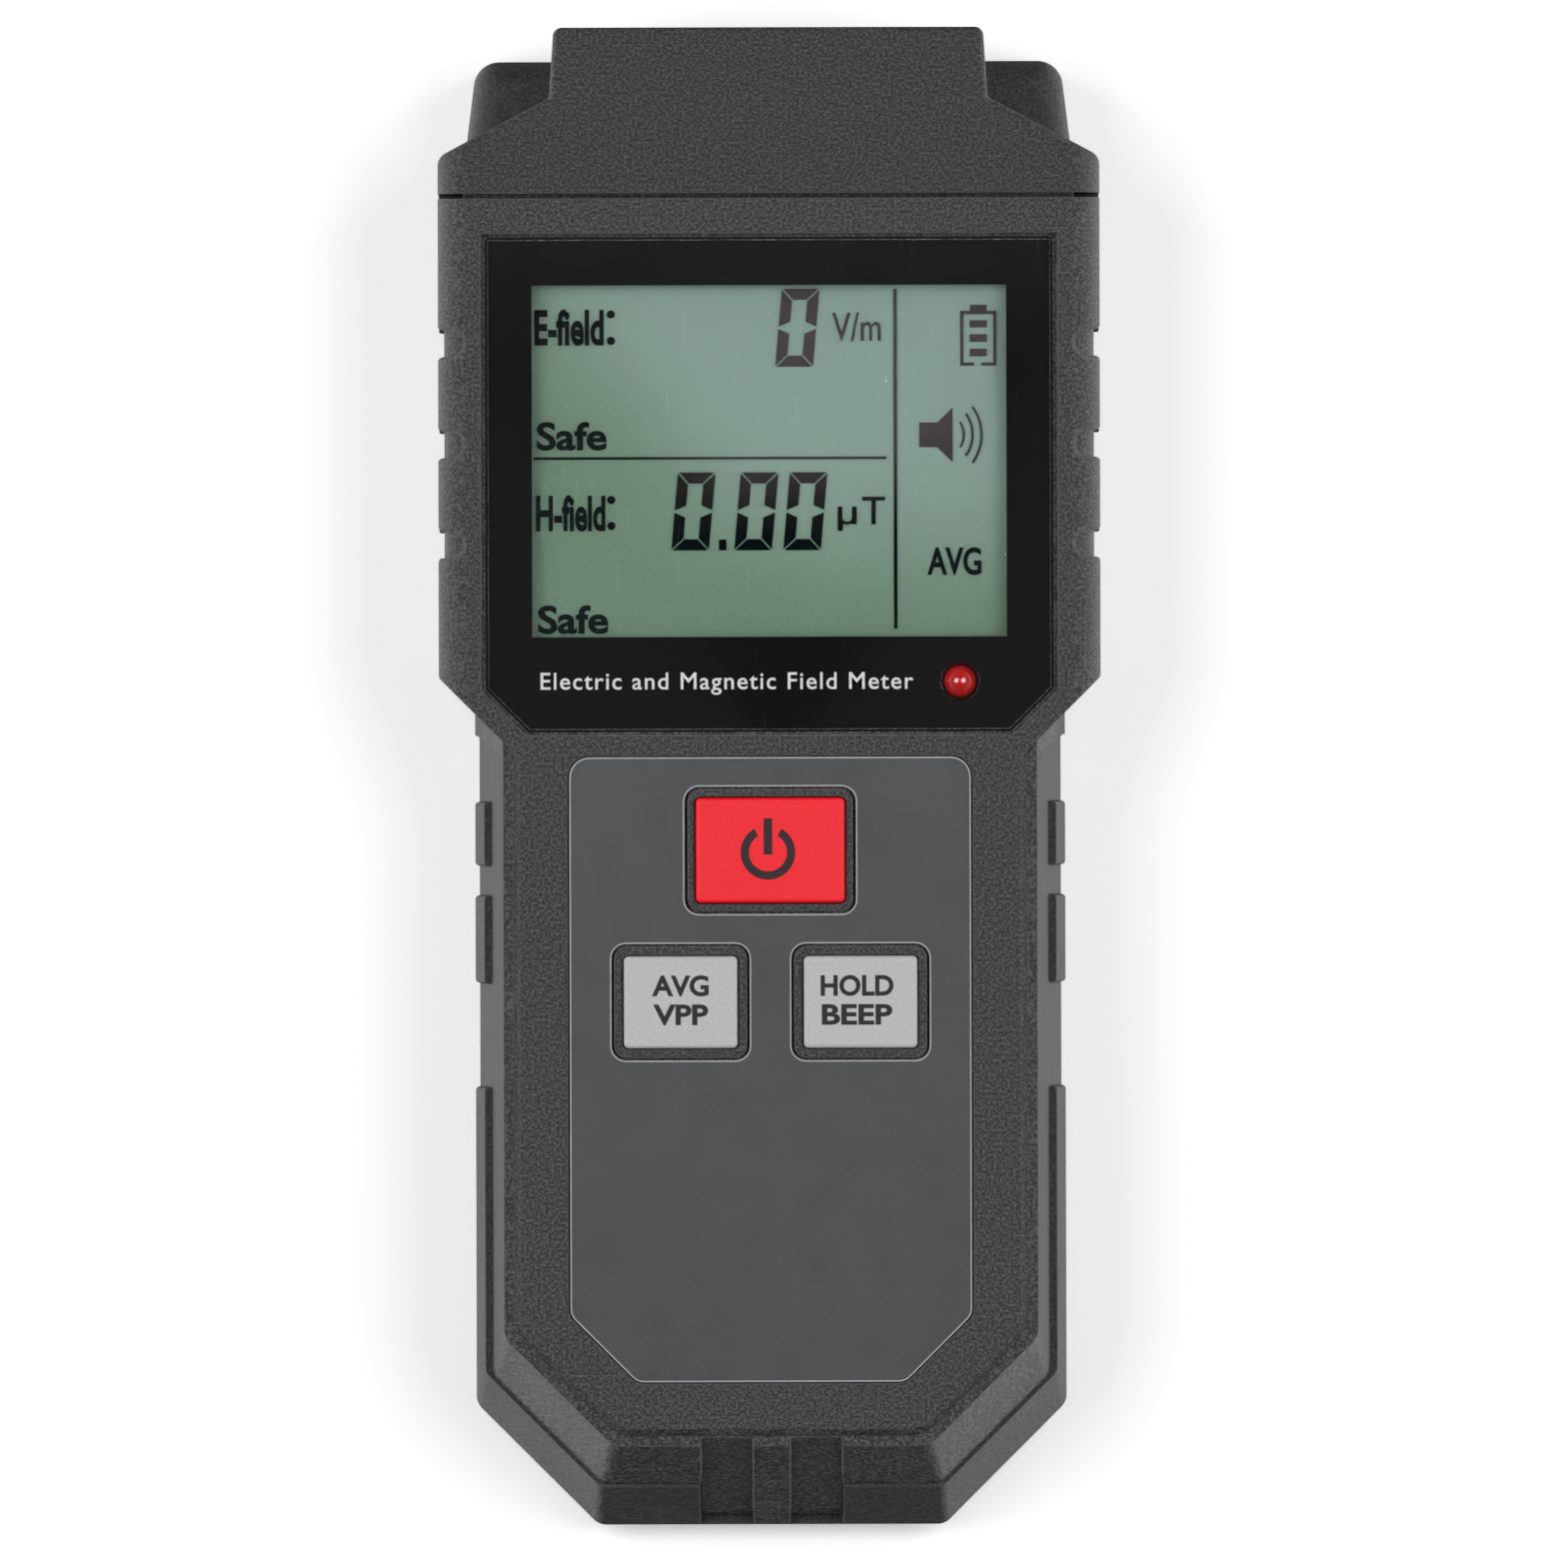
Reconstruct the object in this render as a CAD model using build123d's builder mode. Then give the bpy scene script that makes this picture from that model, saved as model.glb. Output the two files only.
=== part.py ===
from build123d import *
import os
from math import hypot, sqrt
from typing import NamedTuple

# Handheld electromagnetic-field meter lying on its back, in millimetres.
# +X is the right of the front face, +Y runs towards the sensor nose and +Z out
# of the front face. The origin is the centre of the rear face.

# Heights above the rear face
FACE_Z = 29.0           # front face of the head and of the handle's plateau
LAND_Z = 28.4           # narrow land round the plateau
SPLIT_Z = 17.0          # joint between the front and rear shells
BELLY_Z = 5.0           # widest level of the rear shell
CEILING_Z = 25.8        # inside of the front face
FLOOR_Z = 2.2           # inside of the rear face
BOARD_BOTTOM_Z = 19.0
BOARD_TOP_Z = 20.6
WALL = 2.2
REAR_INSET = 4.0        # how far the rear face stands in from the belly
BODY_REACH = 80.0       # longer than any half of the body, for cuts right through
SAME_LEVEL = 0.01       # two levels closer than this are the same one

# Head
HEAD_HALF = 29.75
HEAD_TOP = 52.15
HEAD_ROUND = 2.9        # rounding along the head's long front edges
WAIST_LINE = 20.64      # the head's lower corners lie on X - Y = WAIST_LINE
WAIST_ROUND = 0.5
SHOULDER_LINE = 83.25   # the rear head's upper corners lie on X + Y = SHOULDER_LINE
REAR_HEAD_TOP = 57.5
EAR_HALF = 27.2
EAR_TOP_HALF = 26.3
EAR_TOP = 64.7
EAR_ROUND = 2.3
NOTCH_POINTS = [39.15, 30.07, 21.08]
NOTCH_WIDTH = 2.4
NOTCH_DEPTH = 0.55
NOTCH_END = 27.5
NOTCH_RIM = 0.3         # chamfer round each notch

# Sensor cap
CAP_BOTTOM = 52.6
CAP_SHOULDER = 55.87
CAP_SHOULDER_ROUND = 1.25
NOSE_HALF = 19.7
NOSE_BASE = 61.2
NOSE_TOP_HALF = 19.3
NOSE_TOP = 67.5
CAP_CEILING_Z = FACE_Z - WALL
NOSE_FLOOR_START = 62.0  # a floor closes the nose from here, over the rear shell's end
NOSE_FLOOR_THICKNESS = 1.4
LIP_TOP = 53.8          # end of the front shell's lip inside the cap
LIP_GAP = 0.1
LIP_THICKNESS = 1.3


class Level(NamedTuple):
    """Handle outline at one height: half width, flat end's distance and |X| + |Y| at the folds."""

    side: float
    end: float
    fold: float

    def inset(self, amount):
        return Level(self.side - amount, self.end - amount, self.fold - amount * sqrt(2))


PLATEAU = Level(22.5, 58.4, 71.9)
STEP_FOOT = Level(23.1, 59.1, 72.9)
LAND = Level(24.0, 60.0, 74.2)
SPLIT = Level(25.1, 63.6, 78.85)
RIM = Level(25.8, 63.9, 79.3)
BELLY = Level(26.7, 67.5, 83.16)
INNER_HALF = 21.7       # half width inside the handle, behind the grip pockets
FRONT_INSIDE = [(SPLIT_Z, Level(INNER_HALF, 61.4, 75.7)), (CEILING_Z, Level(INNER_HALF, 58.6, 72.1))]
REAR_INSIDE = [
    (FLOOR_Z, Level(INNER_HALF, 62.8, 76.5)),
    (BELLY_Z, Level(INNER_HALF, 65.2, 79.9)),
    (SPLIT_Z, Level(INNER_HALF, 61.6, 76.1)),
]
HANDLE_TOP = 6.0        # where the handle's sides run into the head
FOLD_LIMIT = -20.0      # all four folds lie below this
PLATEAU_ROUNDS = (3.4, 3.0)
FRONT_ROUNDS = (1.2, 2.0)
REAR_ROUNDS = (1.2, 1.6, 1.2)

# Tongue of the front shell at the bottom end: a shallow groove each side of a rib
TONGUE_HALF = 6.37
RIB_HALF = 1.67
GROOVE_DEPTH = 0.8
TONGUE_THICKNESS = 2.4
TONGUE_GAP = 0.08

# Side grips, in pockets of both shells
GRIP_DEPTH = 1.2
GRIP_TOP_Z = 28.0
GRIP_FOOT_Z = 5.2
GRIP_TOP_HALF = 24.04
GRIP_FOOT_HALF = 26.3
GRIP_TOP = 4.0
GRIP_END_TOP = -49.4    # lower end of the grip at its front edge
GRIP_END_SPLIT = -53.1
GRIP_CUT = [(20.0, 0.8), (24.0, 1.26), (24.5, 2.4), (26.5, 3.95), (30.0, 3.95), (30.0, 8.0), (20.0, 8.0)]
BLOCKS = [(-2.06, -7.8), (-10.5, -18.4)]
LAST_BLOCK = -27.8
BLOCK_EDGE_ROUND = 0.35

# Window over the display
RECESS_FLOOR_Z = 27.3
RECESS_OUTLINE = (25.93, 49.0, 3.9, 4.04)   # half width, top, bottom and corner cut
LENS_OUTLINE = (25.5, 48.65, 4.2, 3.85)
TAPE_TOP_Z = 27.4
MASK_TOP_Z = 27.5
LENS_TOP_Z = 28.9
WINDOW_Y = 28.54
WINDOW_SIZE = (42.64, 31.6)
HOUSING_WINDOW_SIZE = (44.6, 33.4)
LED_POINT = (17.1, 8.7)
LED_HOLE_RADIUS = 1.6

# Display stack
LCD_HOLDER_SIZE = (48.4, 35.6)
LCD_HOLDER_TOP_Z = 25.4
GLASS_SIZE = (46.0, 33.8)
GLASS_BOTTOM_Z = 23.4
GLASS_TOP_Z = 25.6
BACKLIGHT_SIZE = (44.2, 31.0)
STRIP_SIZE = (42.0, 1.1)
STRIP_Y = 44.85
SLIP = 0.1              # clearance round the pieces that drop into the holder

# Keypad
PANEL_OUTLINE = (18.04, 1.93, -54.2, 6.0)
PANEL_TOP_ROUND = 1.8
PANEL_CUT_ROUND = 1.5
PANEL_GAP = 0.15
PANEL_FLOOR_Z = 28.3
KEY_TOP_Z = 29.7
KEY_GAP = 0.12
FLANGE_MARGIN = 0.8
FLANGE_BOTTOM_Z = 24.9
FLANGE_TOP_Z = 25.7
KEY_WALL = 1.2
KEY_POCKET_Z = 28.3
SWITCH_SIZE = 6.0
SWITCH_TOP_Z = 24.0
PLUNGER_RADIUS = 1.7
PLUNGER_BOTTOM_Z = 23.0


class Key(NamedTuple):
    """A key, the housing ring round it and the cutout of the overlay round both."""

    name: str
    x: float
    y: float
    width: float
    height: float
    ring_margin: float
    cutout_margin: float


KEYS = [
    Key("power", 0.0, -6.44, 13.4, 9.45, 0.72, 1.0),
    Key("mode", -8.08, -20.07, 10.22, 8.28, 0.86, 1.1),
    Key("hold", 8.08, -20.07, 10.22, 8.28, 0.86, 1.1),
]
KEY_ROUND = 0.45
RING_ROUND = 1.1
CUTOUT_ROUND = 1.3

# Battery bay
CELL_RADIUS = 5.25
CELL_LENGTH = 44.5
CELL_PITCH = 11.0
CELL_Z = 8.0
NUB_RADIUS = 1.9
NUB_LENGTH = 1.2
BAY_HALF = 17.0
BAY_TOP = -6.5
BAY_BOTTOM = -55.5
BAY_CEILING_Z = 13.6
BAY_WALL = 1.6
TUB_WALL = 2.4
TUB_END_WALL = 2.9
CONTACT_THICKNESS = 0.4
CONTACT_HALF = 4.6
CONTACT_LOW_Z, CONTACT_HIGH_Z = 3.6, 12.6
LUG_WIDTH = 3.0
LUG_SLOT_GAP = 0.2
SPRING_RADIUS = 2.6
WIRE_RADIUS = 0.3
SPRING_TURNS = 3

# Battery cover, which tilts about the lower edge of its bottom end
COVER_HALF = 18.6
COVER_TOP = -4.9
COVER_BOTTOM = -57.6
COVER_THICKNESS = 1.9
COVER_GAP = 0.12
COVER_ROUND = 1.0
TAB_X = 11.0
TAB_WIDTH = 6.0
TAB_LENGTH = 2.0
TAB_ROOT = 1.0          # how far a tab runs back into the cover
TAB_END_GAP = 0.95
TAB_BOTTOM_Z = 1.0
TAB_SWING_Z = 3.4
TONGUE_LATCH_HALF = 5.0
LATCH_LENGTH = 1.8
THUMB_NOTCH_LENGTH = 3.2

# Fasteners
CAP_SCREW = (19.5, 57.2)
BODY_SCREW = (13.5, 2.2)
SCREW_RADIUS = 1.25
SCREW_HEAD_RADIUS = 2.3
SCREW_SEAT_Z = 3.6
SCREW_TIP_Z = 22.0
BOSS_RADIUS = 3.3
BOSS_FOOT_Z = 1.1       # the rear bosses start inside the rear wall
BOARD_SCREW_TOP, BOARD_SCREW_LOW = (23.6, 48.8), (18.0, -46.5)
BOARD_SCREW_RADIUS = 1.0
BOARD_SCREW_TIP_Z = 25.0
POST_RADIUS = 2.2

# Board and what it carries
BOARD_HEAD_HALF, BOARD_HANDLE_HALF, BOARD_TONGUE_HALF = 26.0, 20.4, 16.0
BOARD_TOP, BOARD_SHOULDER, BOARD_BOTTOM, BOARD_CUT = 63.5, 50.6, -58.0, 5.4
BOARD_WAIST_LINE = 16.6
BUZZER_Y = 40.0
BUZZER_RADIUS = 6.0
BUZZER_BOTTOM_Z = 9.5
COIL_Y = 59.0
CORE_RADIUS = 2.1
CORE_HALF = 16.0
WINDING_RADIUS = 2.8
WINDING_HALF = 12.0
CHIP_Y = -38.0

# Rating label on the rear face
LABEL_SIZE = (40.0, 24.0)
LABEL_Y = 19.0
LABEL_POCKET = 0.2
LABEL_THICKNESS = 0.15


def handle_outline(level, top):
    """Corner points of the handle at one height, from its top edge round the two folds."""
    side, end, fold = level
    return [
        (side, top),
        (-side, top),
        (-side, side - fold),
        (end - fold, -end),
        (fold - end, -end),
        (side, side - fold),
    ]


def handle_body(heights_and_levels, top, fold_rounds=()):
    """Flat-sided handle body through the given levels, with its folds rounded at each level."""
    with BuildPart() as body:
        for index, (height, level) in enumerate(heights_and_levels):
            with BuildSketch(Plane.XY.offset(height)) as outline:
                Polygon(*handle_outline(level, top))
                if fold_rounds:
                    fillet(outline.vertices().filter_by(lambda v: v.Y < FOLD_LIMIT), fold_rounds[index])
        loft(ruled=True)
    return body.part


def front_head_outline(top, inset=0.0):
    """Head outline of the front shell, with its 45 degree lower corners."""
    half = HEAD_HALF - inset
    line = WAIST_LINE - inset * sqrt(2)
    right = [(PLATEAU.side, PLATEAU.side - line), (half, half - line), (half, top)]
    return right + [(-x, y) for x, y in reversed(right)]


def rear_head_outline(inset=0.0):
    """Head outline of the rear shell, with 45 degree lower and upper corners."""
    half = HEAD_HALF - inset
    waist = WAIST_LINE - inset * sqrt(2)
    shoulder = SHOULDER_LINE - inset * sqrt(2)
    top = REAR_HEAD_TOP - inset
    right = [
        (PLATEAU.side, PLATEAU.side - waist),
        (half, half - waist),
        (half, shoulder - half),
        (shoulder - top, top),
    ]
    return right + [(-x, y) for x, y in reversed(right)]


def rear_head_body(heights_and_insets):
    """Flat-sided rear head through the given heights."""
    with BuildPart() as body:
        for height, inset in heights_and_insets:
            with BuildSketch(Plane.XY.offset(height)):
                Polygon(*rear_head_outline(inset))
        loft(ruled=True)
    return body.part


def cap_outline(bottom):
    """Plan of the sensor cap: straight sides, sloping shoulders and the nose."""
    right = [
        (HEAD_HALF, bottom),
        (HEAD_HALF, CAP_SHOULDER),
        (NOSE_HALF, NOSE_BASE),
        (NOSE_TOP_HALF, NOSE_TOP),
    ]
    return right + [(-x, y) for x, y in reversed(right)]


def cut_corner_outline(half, top, bottom, cut):
    """Plate outline with its two lower corners cut at 45 degrees."""
    return [
        (half, top),
        (-half, top),
        (-half, bottom + cut),
        (cut - half, bottom),
        (half - cut, bottom),
        (half, bottom + cut),
    ]


def mirrored(point):
    """A point and its mirror image across the middle of the body."""
    return [point, (-point[0], point[1])]


def end_strip(outer, inner):
    """Side view of a strip down the sloping bottom end, between two depths under its surface."""
    return [
        (-LAND.end + outer, LAND_Z),
        (-BELLY.end + outer, BELLY_Z),
        (-BELLY.end + inner, BELLY_Z),
        (-LAND.end + inner, LAND_Z),
    ]


os.makedirs("parts", exist_ok=True)

# Shared outlines ---------------------------------------------------------

with BuildSketch() as head_section:
    Rectangle(2 * HEAD_HALF, 2 * FACE_Z)
    fillet(head_section.vertices().group_by(Axis.Y)[-1], HEAD_ROUND)

with BuildSketch() as panel_outline:
    Polygon(*cut_corner_outline(*PANEL_OUTLINE))
    fillet(panel_outline.vertices().group_by(Axis.Y)[-1], PANEL_TOP_ROUND)
    fillet(panel_outline.vertices().group_by(Axis.Y)[:-2], PANEL_CUT_ROUND)

# Side grips and the pockets they sit in -----------------------------------


def build_grip(section):
    """Right side grip: a slab whose lower edge has fingers between the rear shell's blocks."""
    side_view = [
        (GRIP_TOP, GRIP_FOOT_Z),
        (GRIP_TOP, GRIP_TOP_Z),
        (GRIP_END_TOP, GRIP_TOP_Z),
        (GRIP_END_SPLIT, SPLIT_Z),
        (LAST_BLOCK, SPLIT_Z),
        (LAST_BLOCK, GRIP_FOOT_Z),
    ]
    with BuildPart() as grip:
        with BuildSketch(Plane.YZ):
            Polygon(*side_view)
            for high, low in BLOCKS:
                with Locations((0.5 * (high + low), 0.0)):
                    Rectangle(high - low, 2 * SPLIT_Z, mode=Mode.SUBTRACT)
        extrude(amount=HEAD_HALF)
        with BuildSketch(Plane.XZ):
            Polygon(*section)
        extrude(amount=BODY_REACH, both=True, mode=Mode.INTERSECT)
        # The top end is cut obliquely under the head.
        with BuildSketch():
            Polygon(*GRIP_CUT)
        extrude(amount=FACE_Z, mode=Mode.SUBTRACT)
    return grip.part


grip_section = [
    (GRIP_TOP_HALF - GRIP_DEPTH, GRIP_TOP_Z),
    (GRIP_TOP_HALF, GRIP_TOP_Z),
    (GRIP_FOOT_HALF, GRIP_FOOT_Z),
    (GRIP_FOOT_HALF - GRIP_DEPTH, GRIP_FOOT_Z),
]
pocket_section = [
    (GRIP_TOP_HALF - GRIP_DEPTH, GRIP_TOP_Z),
    (HEAD_HALF, GRIP_TOP_Z),
    (HEAD_HALF, GRIP_FOOT_Z),
    (GRIP_FOOT_HALF - GRIP_DEPTH, GRIP_FOOT_Z),
]

with BuildPart() as grip_right:
    add(build_grip(grip_section))
grip_right.part.label = "grip_right"
export_step(grip_right.part, "parts/grip_right.step")

with BuildPart() as grip_left:
    mirror(grip_right.part, about=Plane.YZ)
grip_left.part.label = "grip_left"
export_step(grip_left.part, "parts/grip_left.step")

# Both pockets, and the trim that thins the rear shell between its blocks
finger_gaps = [(GRIP_TOP, BLOCKS[0][0]), (BLOCKS[0][1], BLOCKS[1][0]), (BLOCKS[1][1], LAST_BLOCK)]
with BuildPart() as grip_pockets:
    add(build_grip(pocket_section))
    with BuildSketch():
        for high, low in finger_gaps:
            with Locations((0.5 * (GRIP_FOOT_HALF + HEAD_HALF), 0.5 * (high + low))):
                Rectangle(HEAD_HALF - GRIP_FOOT_HALF, high - low)
    extrude(amount=GRIP_FOOT_Z)
    mirror(about=Plane.YZ)

# Lips that lie over the grips' top ends
with BuildPart() as grip_lips:
    with BuildSketch(Plane.XZ):
        Polygon((INNER_HALF, SPLIT_Z), (RIM.side, SPLIT_Z), (LAND.side, LAND_Z), (INNER_HALF, LAND_Z))
    extrude(amount=BODY_REACH, both=True)
    with BuildSketch():
        Polygon(*GRIP_CUT)
    extrude(amount=FACE_Z, mode=Mode.INTERSECT)
    mirror(about=Plane.YZ)

# Notches down the head's sides, through both shells ------------------------

with BuildPart() as side_notches:
    with BuildSketch():
        for y in NOTCH_POINTS:
            with Locations((HEAD_HALF, y)):
                SlotOverall(2 * (HEAD_HALF - NOTCH_END), NOTCH_WIDTH)
    extrude(amount=FACE_Z)
    mirror(about=Plane.YZ)
    with BuildSketch(Plane.XZ):
        add(head_section.sketch)
        offset(amount=-NOTCH_DEPTH)
    extrude(amount=BODY_REACH, both=True, mode=Mode.SUBTRACT)



def is_notch_rim(edge):
    """Whether an edge lies on the skin of the front head, round a notch."""
    middle = edge @ 0.5
    reach = abs(middle.X) - HEAD_HALF + HEAD_ROUND
    height = max(middle.Z - FACE_Z + HEAD_ROUND, 0.0)
    on_skin = abs(hypot(reach, height) - HEAD_ROUND) < SAME_LEVEL and reach > SAME_LEVEL
    beside_notch = any(abs(middle.Y - y) < NOTCH_WIDTH for y in NOTCH_POINTS)
    return on_skin and beside_notch and middle.Z > SPLIT_Z + SAME_LEVEL


# Front shell ----------------------------------------------------------------

with BuildPart() as front_housing:
    with BuildSketch(Plane.XY.offset(SPLIT_Z)):
        Polygon(*front_head_outline(HEAD_TOP))
    extrude(amount=FACE_Z - SPLIT_Z)
    head_corners = front_housing.edges().filter_by(Axis.Z).sort_by(Axis.Y)[2:4]
    fillet(head_corners, WAIST_ROUND)
    with BuildSketch(Plane.XZ):
        add(head_section.sketch)
    extrude(amount=BODY_REACH, both=True, mode=Mode.INTERSECT)
    add(side_notches.part, mode=Mode.SUBTRACT)
    chamfer(front_housing.edges().filter_by(is_notch_rim), NOTCH_RIM)

    # Handle, with the plateau standing on it
    add(handle_body([(SPLIT_Z, SPLIT), (LAND_Z, LAND)], HANDLE_TOP, FRONT_ROUNDS))
    add(handle_body([(LAND_Z, STEP_FOOT), (FACE_Z, PLATEAU)], HANDLE_TOP, PLATEAU_ROUNDS))
    add(grip_lips.part)

    # Hollow, open at the split and towards the cap
    with BuildSketch(Plane.XY.offset(SPLIT_Z)):
        Polygon(*front_head_outline(HEAD_TOP, WALL))
    extrude(amount=CEILING_Z - SPLIT_Z, mode=Mode.SUBTRACT)
    add(handle_body(FRONT_INSIDE, HANDLE_TOP), mode=Mode.SUBTRACT)

    # Lip that the cap slides over
    with BuildSketch(Plane.XZ.offset(-LIP_TOP)):
        add(head_section.sketch)
        offset(amount=-WALL - LIP_GAP)
        with BuildSketch(mode=Mode.PRIVATE) as lip_inside:
            add(head_section.sketch)
            offset(amount=-WALL - LIP_GAP - LIP_THICKNESS)
        add(lip_inside.sketch, mode=Mode.SUBTRACT)
        with Locations((0.0, SPLIT_Z)):
            Rectangle(3 * HEAD_HALF, 3 * HEAD_HALF, align=(Align.CENTER, Align.MAX), mode=Mode.SUBTRACT)
    extrude(amount=LIP_TOP - HEAD_TOP + WALL)

    # Tongue and grooves down the bottom end
    with BuildSketch(Plane.YZ):
        Polygon(*end_strip(GROOVE_DEPTH, GROOVE_DEPTH + TONGUE_THICKNESS))
    extrude(amount=TONGUE_HALF, both=True)
    with BuildSketch(Plane.YZ):
        Polygon(*end_strip(0.0, GROOVE_DEPTH))
    extrude(amount=RIB_HALF, both=True)
    for side in (-1, 1):
        with BuildSketch(Plane.YZ.offset(side * RIB_HALF)):
            Polygon(*end_strip(-GROOVE_DEPTH, GROOVE_DEPTH))
        extrude(amount=side * (TONGUE_HALF - RIB_HALF), mode=Mode.SUBTRACT)

    # Window recess and opening
    with BuildSketch(Plane.XY.offset(RECESS_FLOOR_Z)):
        Polygon(*cut_corner_outline(*RECESS_OUTLINE))
    extrude(amount=FACE_Z - RECESS_FLOOR_Z, mode=Mode.SUBTRACT)
    with BuildSketch(Plane.XY.offset(CEILING_Z)):
        with Locations((0.0, WINDOW_Y)):
            Rectangle(*HOUSING_WINDOW_SIZE)
        with Locations(LED_POINT):
            Circle(LED_HOLE_RADIUS)
    extrude(amount=RECESS_FLOOR_Z - CEILING_Z, mode=Mode.SUBTRACT)

    # Keypad recess, with a ring left standing round each key, and the key holes
    with BuildSketch(Plane.XY.offset(PANEL_FLOOR_Z)):
        add(panel_outline.sketch)
        offset(amount=PANEL_GAP)
        for key in KEYS:
            with Locations((key.x, key.y)):
                RectangleRounded(
                    key.width + 2 * key.ring_margin,
                    key.height + 2 * key.ring_margin,
                    RING_ROUND,
                    mode=Mode.SUBTRACT,
                )
    extrude(amount=FACE_Z - PANEL_FLOOR_Z, mode=Mode.SUBTRACT)
    with BuildSketch(Plane.XY.offset(CEILING_Z)):
        for key in KEYS:
            with Locations((key.x, key.y)):
                RectangleRounded(key.width + 2 * KEY_GAP, key.height + 2 * KEY_GAP, KEY_ROUND + KEY_GAP)
    extrude(amount=FACE_Z - CEILING_Z, mode=Mode.SUBTRACT)

    # Screw bosses and board posts, with their pilot holes
    with BuildSketch(Plane.XY.offset(CEILING_Z)):
        with Locations(*mirrored(BODY_SCREW)):
            Circle(BOSS_RADIUS)
    extrude(amount=SPLIT_Z - CEILING_Z)
    with BuildSketch(Plane.XY.offset(CEILING_Z)):
        with Locations(*mirrored(BOARD_SCREW_TOP), *mirrored(BOARD_SCREW_LOW)):
            Circle(POST_RADIUS)
    extrude(amount=BOARD_TOP_Z - CEILING_Z)
    with BuildSketch(Plane.XY.offset(SPLIT_Z)):
        with Locations(*mirrored(BODY_SCREW)):
            Circle(SCREW_RADIUS)
    extrude(amount=SCREW_TIP_Z - SPLIT_Z, mode=Mode.SUBTRACT)
    with BuildSketch(Plane.XY.offset(BOARD_TOP_Z)):
        with Locations(*mirrored(BOARD_SCREW_TOP), *mirrored(BOARD_SCREW_LOW)):
            Circle(BOARD_SCREW_RADIUS)
    extrude(amount=BOARD_SCREW_TIP_Z - BOARD_TOP_Z, mode=Mode.SUBTRACT)

    add(grip_pockets.part, mode=Mode.SUBTRACT)
front_housing.part.label = "front_housing"
export_step(front_housing.part, "parts/front_housing.step")

# Sensor cap ------------------------------------------------------------------

CAP_CAVITY_EXTRA = 5.0  # the cavity runs out past the cap's open lower side
NOSE_ROUND = 0.8
NOSE_BASE_ROUND = 0.4
CAP_EDGE_ROUND = 0.6

with BuildPart() as sensor_cap:
    with BuildSketch(Plane.XY.offset(SPLIT_Z)) as cap_plan:
        Polygon(*cap_outline(CAP_BOTTOM))
        fillet(cap_plan.vertices().group_by(Axis.Y)[-1], NOSE_ROUND)
        nose_base = cap_plan.vertices().filter_by(lambda v: abs(v.Y - NOSE_BASE) < SAME_LEVEL)
        fillet(nose_base, NOSE_BASE_ROUND)
        shoulders = cap_plan.vertices().filter_by(lambda v: abs(v.Y - CAP_SHOULDER) < SAME_LEVEL)
        fillet(shoulders, CAP_SHOULDER_ROUND)
    extrude(amount=FACE_Z - SPLIT_Z)
    rim_start = CAP_SHOULDER - CAP_SHOULDER_ROUND
    top_edges = sensor_cap.edges().group_by(Axis.Z)[-1]
    fillet(top_edges.filter_by(lambda e: e.center().Y > rim_start), CAP_EDGE_ROUND)
    with BuildSketch(Plane.XZ):
        add(head_section.sketch)
    extrude(amount=BODY_REACH, both=True, mode=Mode.INTERSECT)

    with BuildSketch(Plane.XY.offset(SPLIT_Z)):
        Polygon(*cap_outline(CAP_BOTTOM - CAP_CAVITY_EXTRA))
        offset(amount=-WALL)
    extrude(amount=CAP_CEILING_Z - SPLIT_Z, mode=Mode.SUBTRACT)
    with BuildSketch(Plane.XY.offset(SPLIT_Z)):
        floor_length = NOSE_TOP - NOSE_FLOOR_START - 0.5 * WALL
        with Locations((0.0, NOSE_FLOOR_START)):
            Rectangle(2 * NOSE_TOP_HALF - WALL, floor_length, align=(Align.CENTER, Align.MIN))
    extrude(amount=NOSE_FLOOR_THICKNESS)

    with BuildSketch(Plane.XY.offset(CAP_CEILING_Z)):
        with Locations(*mirrored(CAP_SCREW)):
            Circle(BOSS_RADIUS)
    extrude(amount=SPLIT_Z - CAP_CEILING_Z)
    with BuildSketch(Plane.XY.offset(SPLIT_Z)):
        with Locations(*mirrored(CAP_SCREW)):
            Circle(SCREW_RADIUS)
    extrude(amount=SCREW_TIP_Z - SPLIT_Z, mode=Mode.SUBTRACT)
sensor_cap.part.label = "sensor_cap"
export_step(sensor_cap.part, "parts/sensor_cap.step")

# Rear shell ------------------------------------------------------------------

EAR_FOOT = 44.0
EAR_EDGE_ROUND = 2.2
HEAD_INSIDE = [(FLOOR_Z, 2.3 + WALL), (BELLY_Z + 1.0, WALL), (SPLIT_Z, WALL)]
SCREW_HOLE_RADIUS = 1.45
SCREW_RECESS_RADIUS = 2.6
SOUND_HOLE_RADIUS = 0.75
SOUND_RING_RADIUS = 3.6
SOUND_HOLE_COUNT = 6

with BuildPart() as rear_ears:
    with BuildSketch() as ear_plan:
        Polygon(
            (EAR_HALF, EAR_FOOT),
            (EAR_HALF, REAR_HEAD_TOP),
            (EAR_TOP_HALF, EAR_TOP),
            (-EAR_TOP_HALF, EAR_TOP),
            (-EAR_HALF, REAR_HEAD_TOP),
            (-EAR_HALF, EAR_FOOT),
        )
        fillet(ear_plan.vertices().group_by(Axis.Y)[-1], EAR_ROUND)
    extrude(amount=SPLIT_Z)
    ear_rims = rear_ears.edges().group_by(Axis.Z)
    fillet(ear_rims[0] + ear_rims[-1], EAR_EDGE_ROUND)

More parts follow.
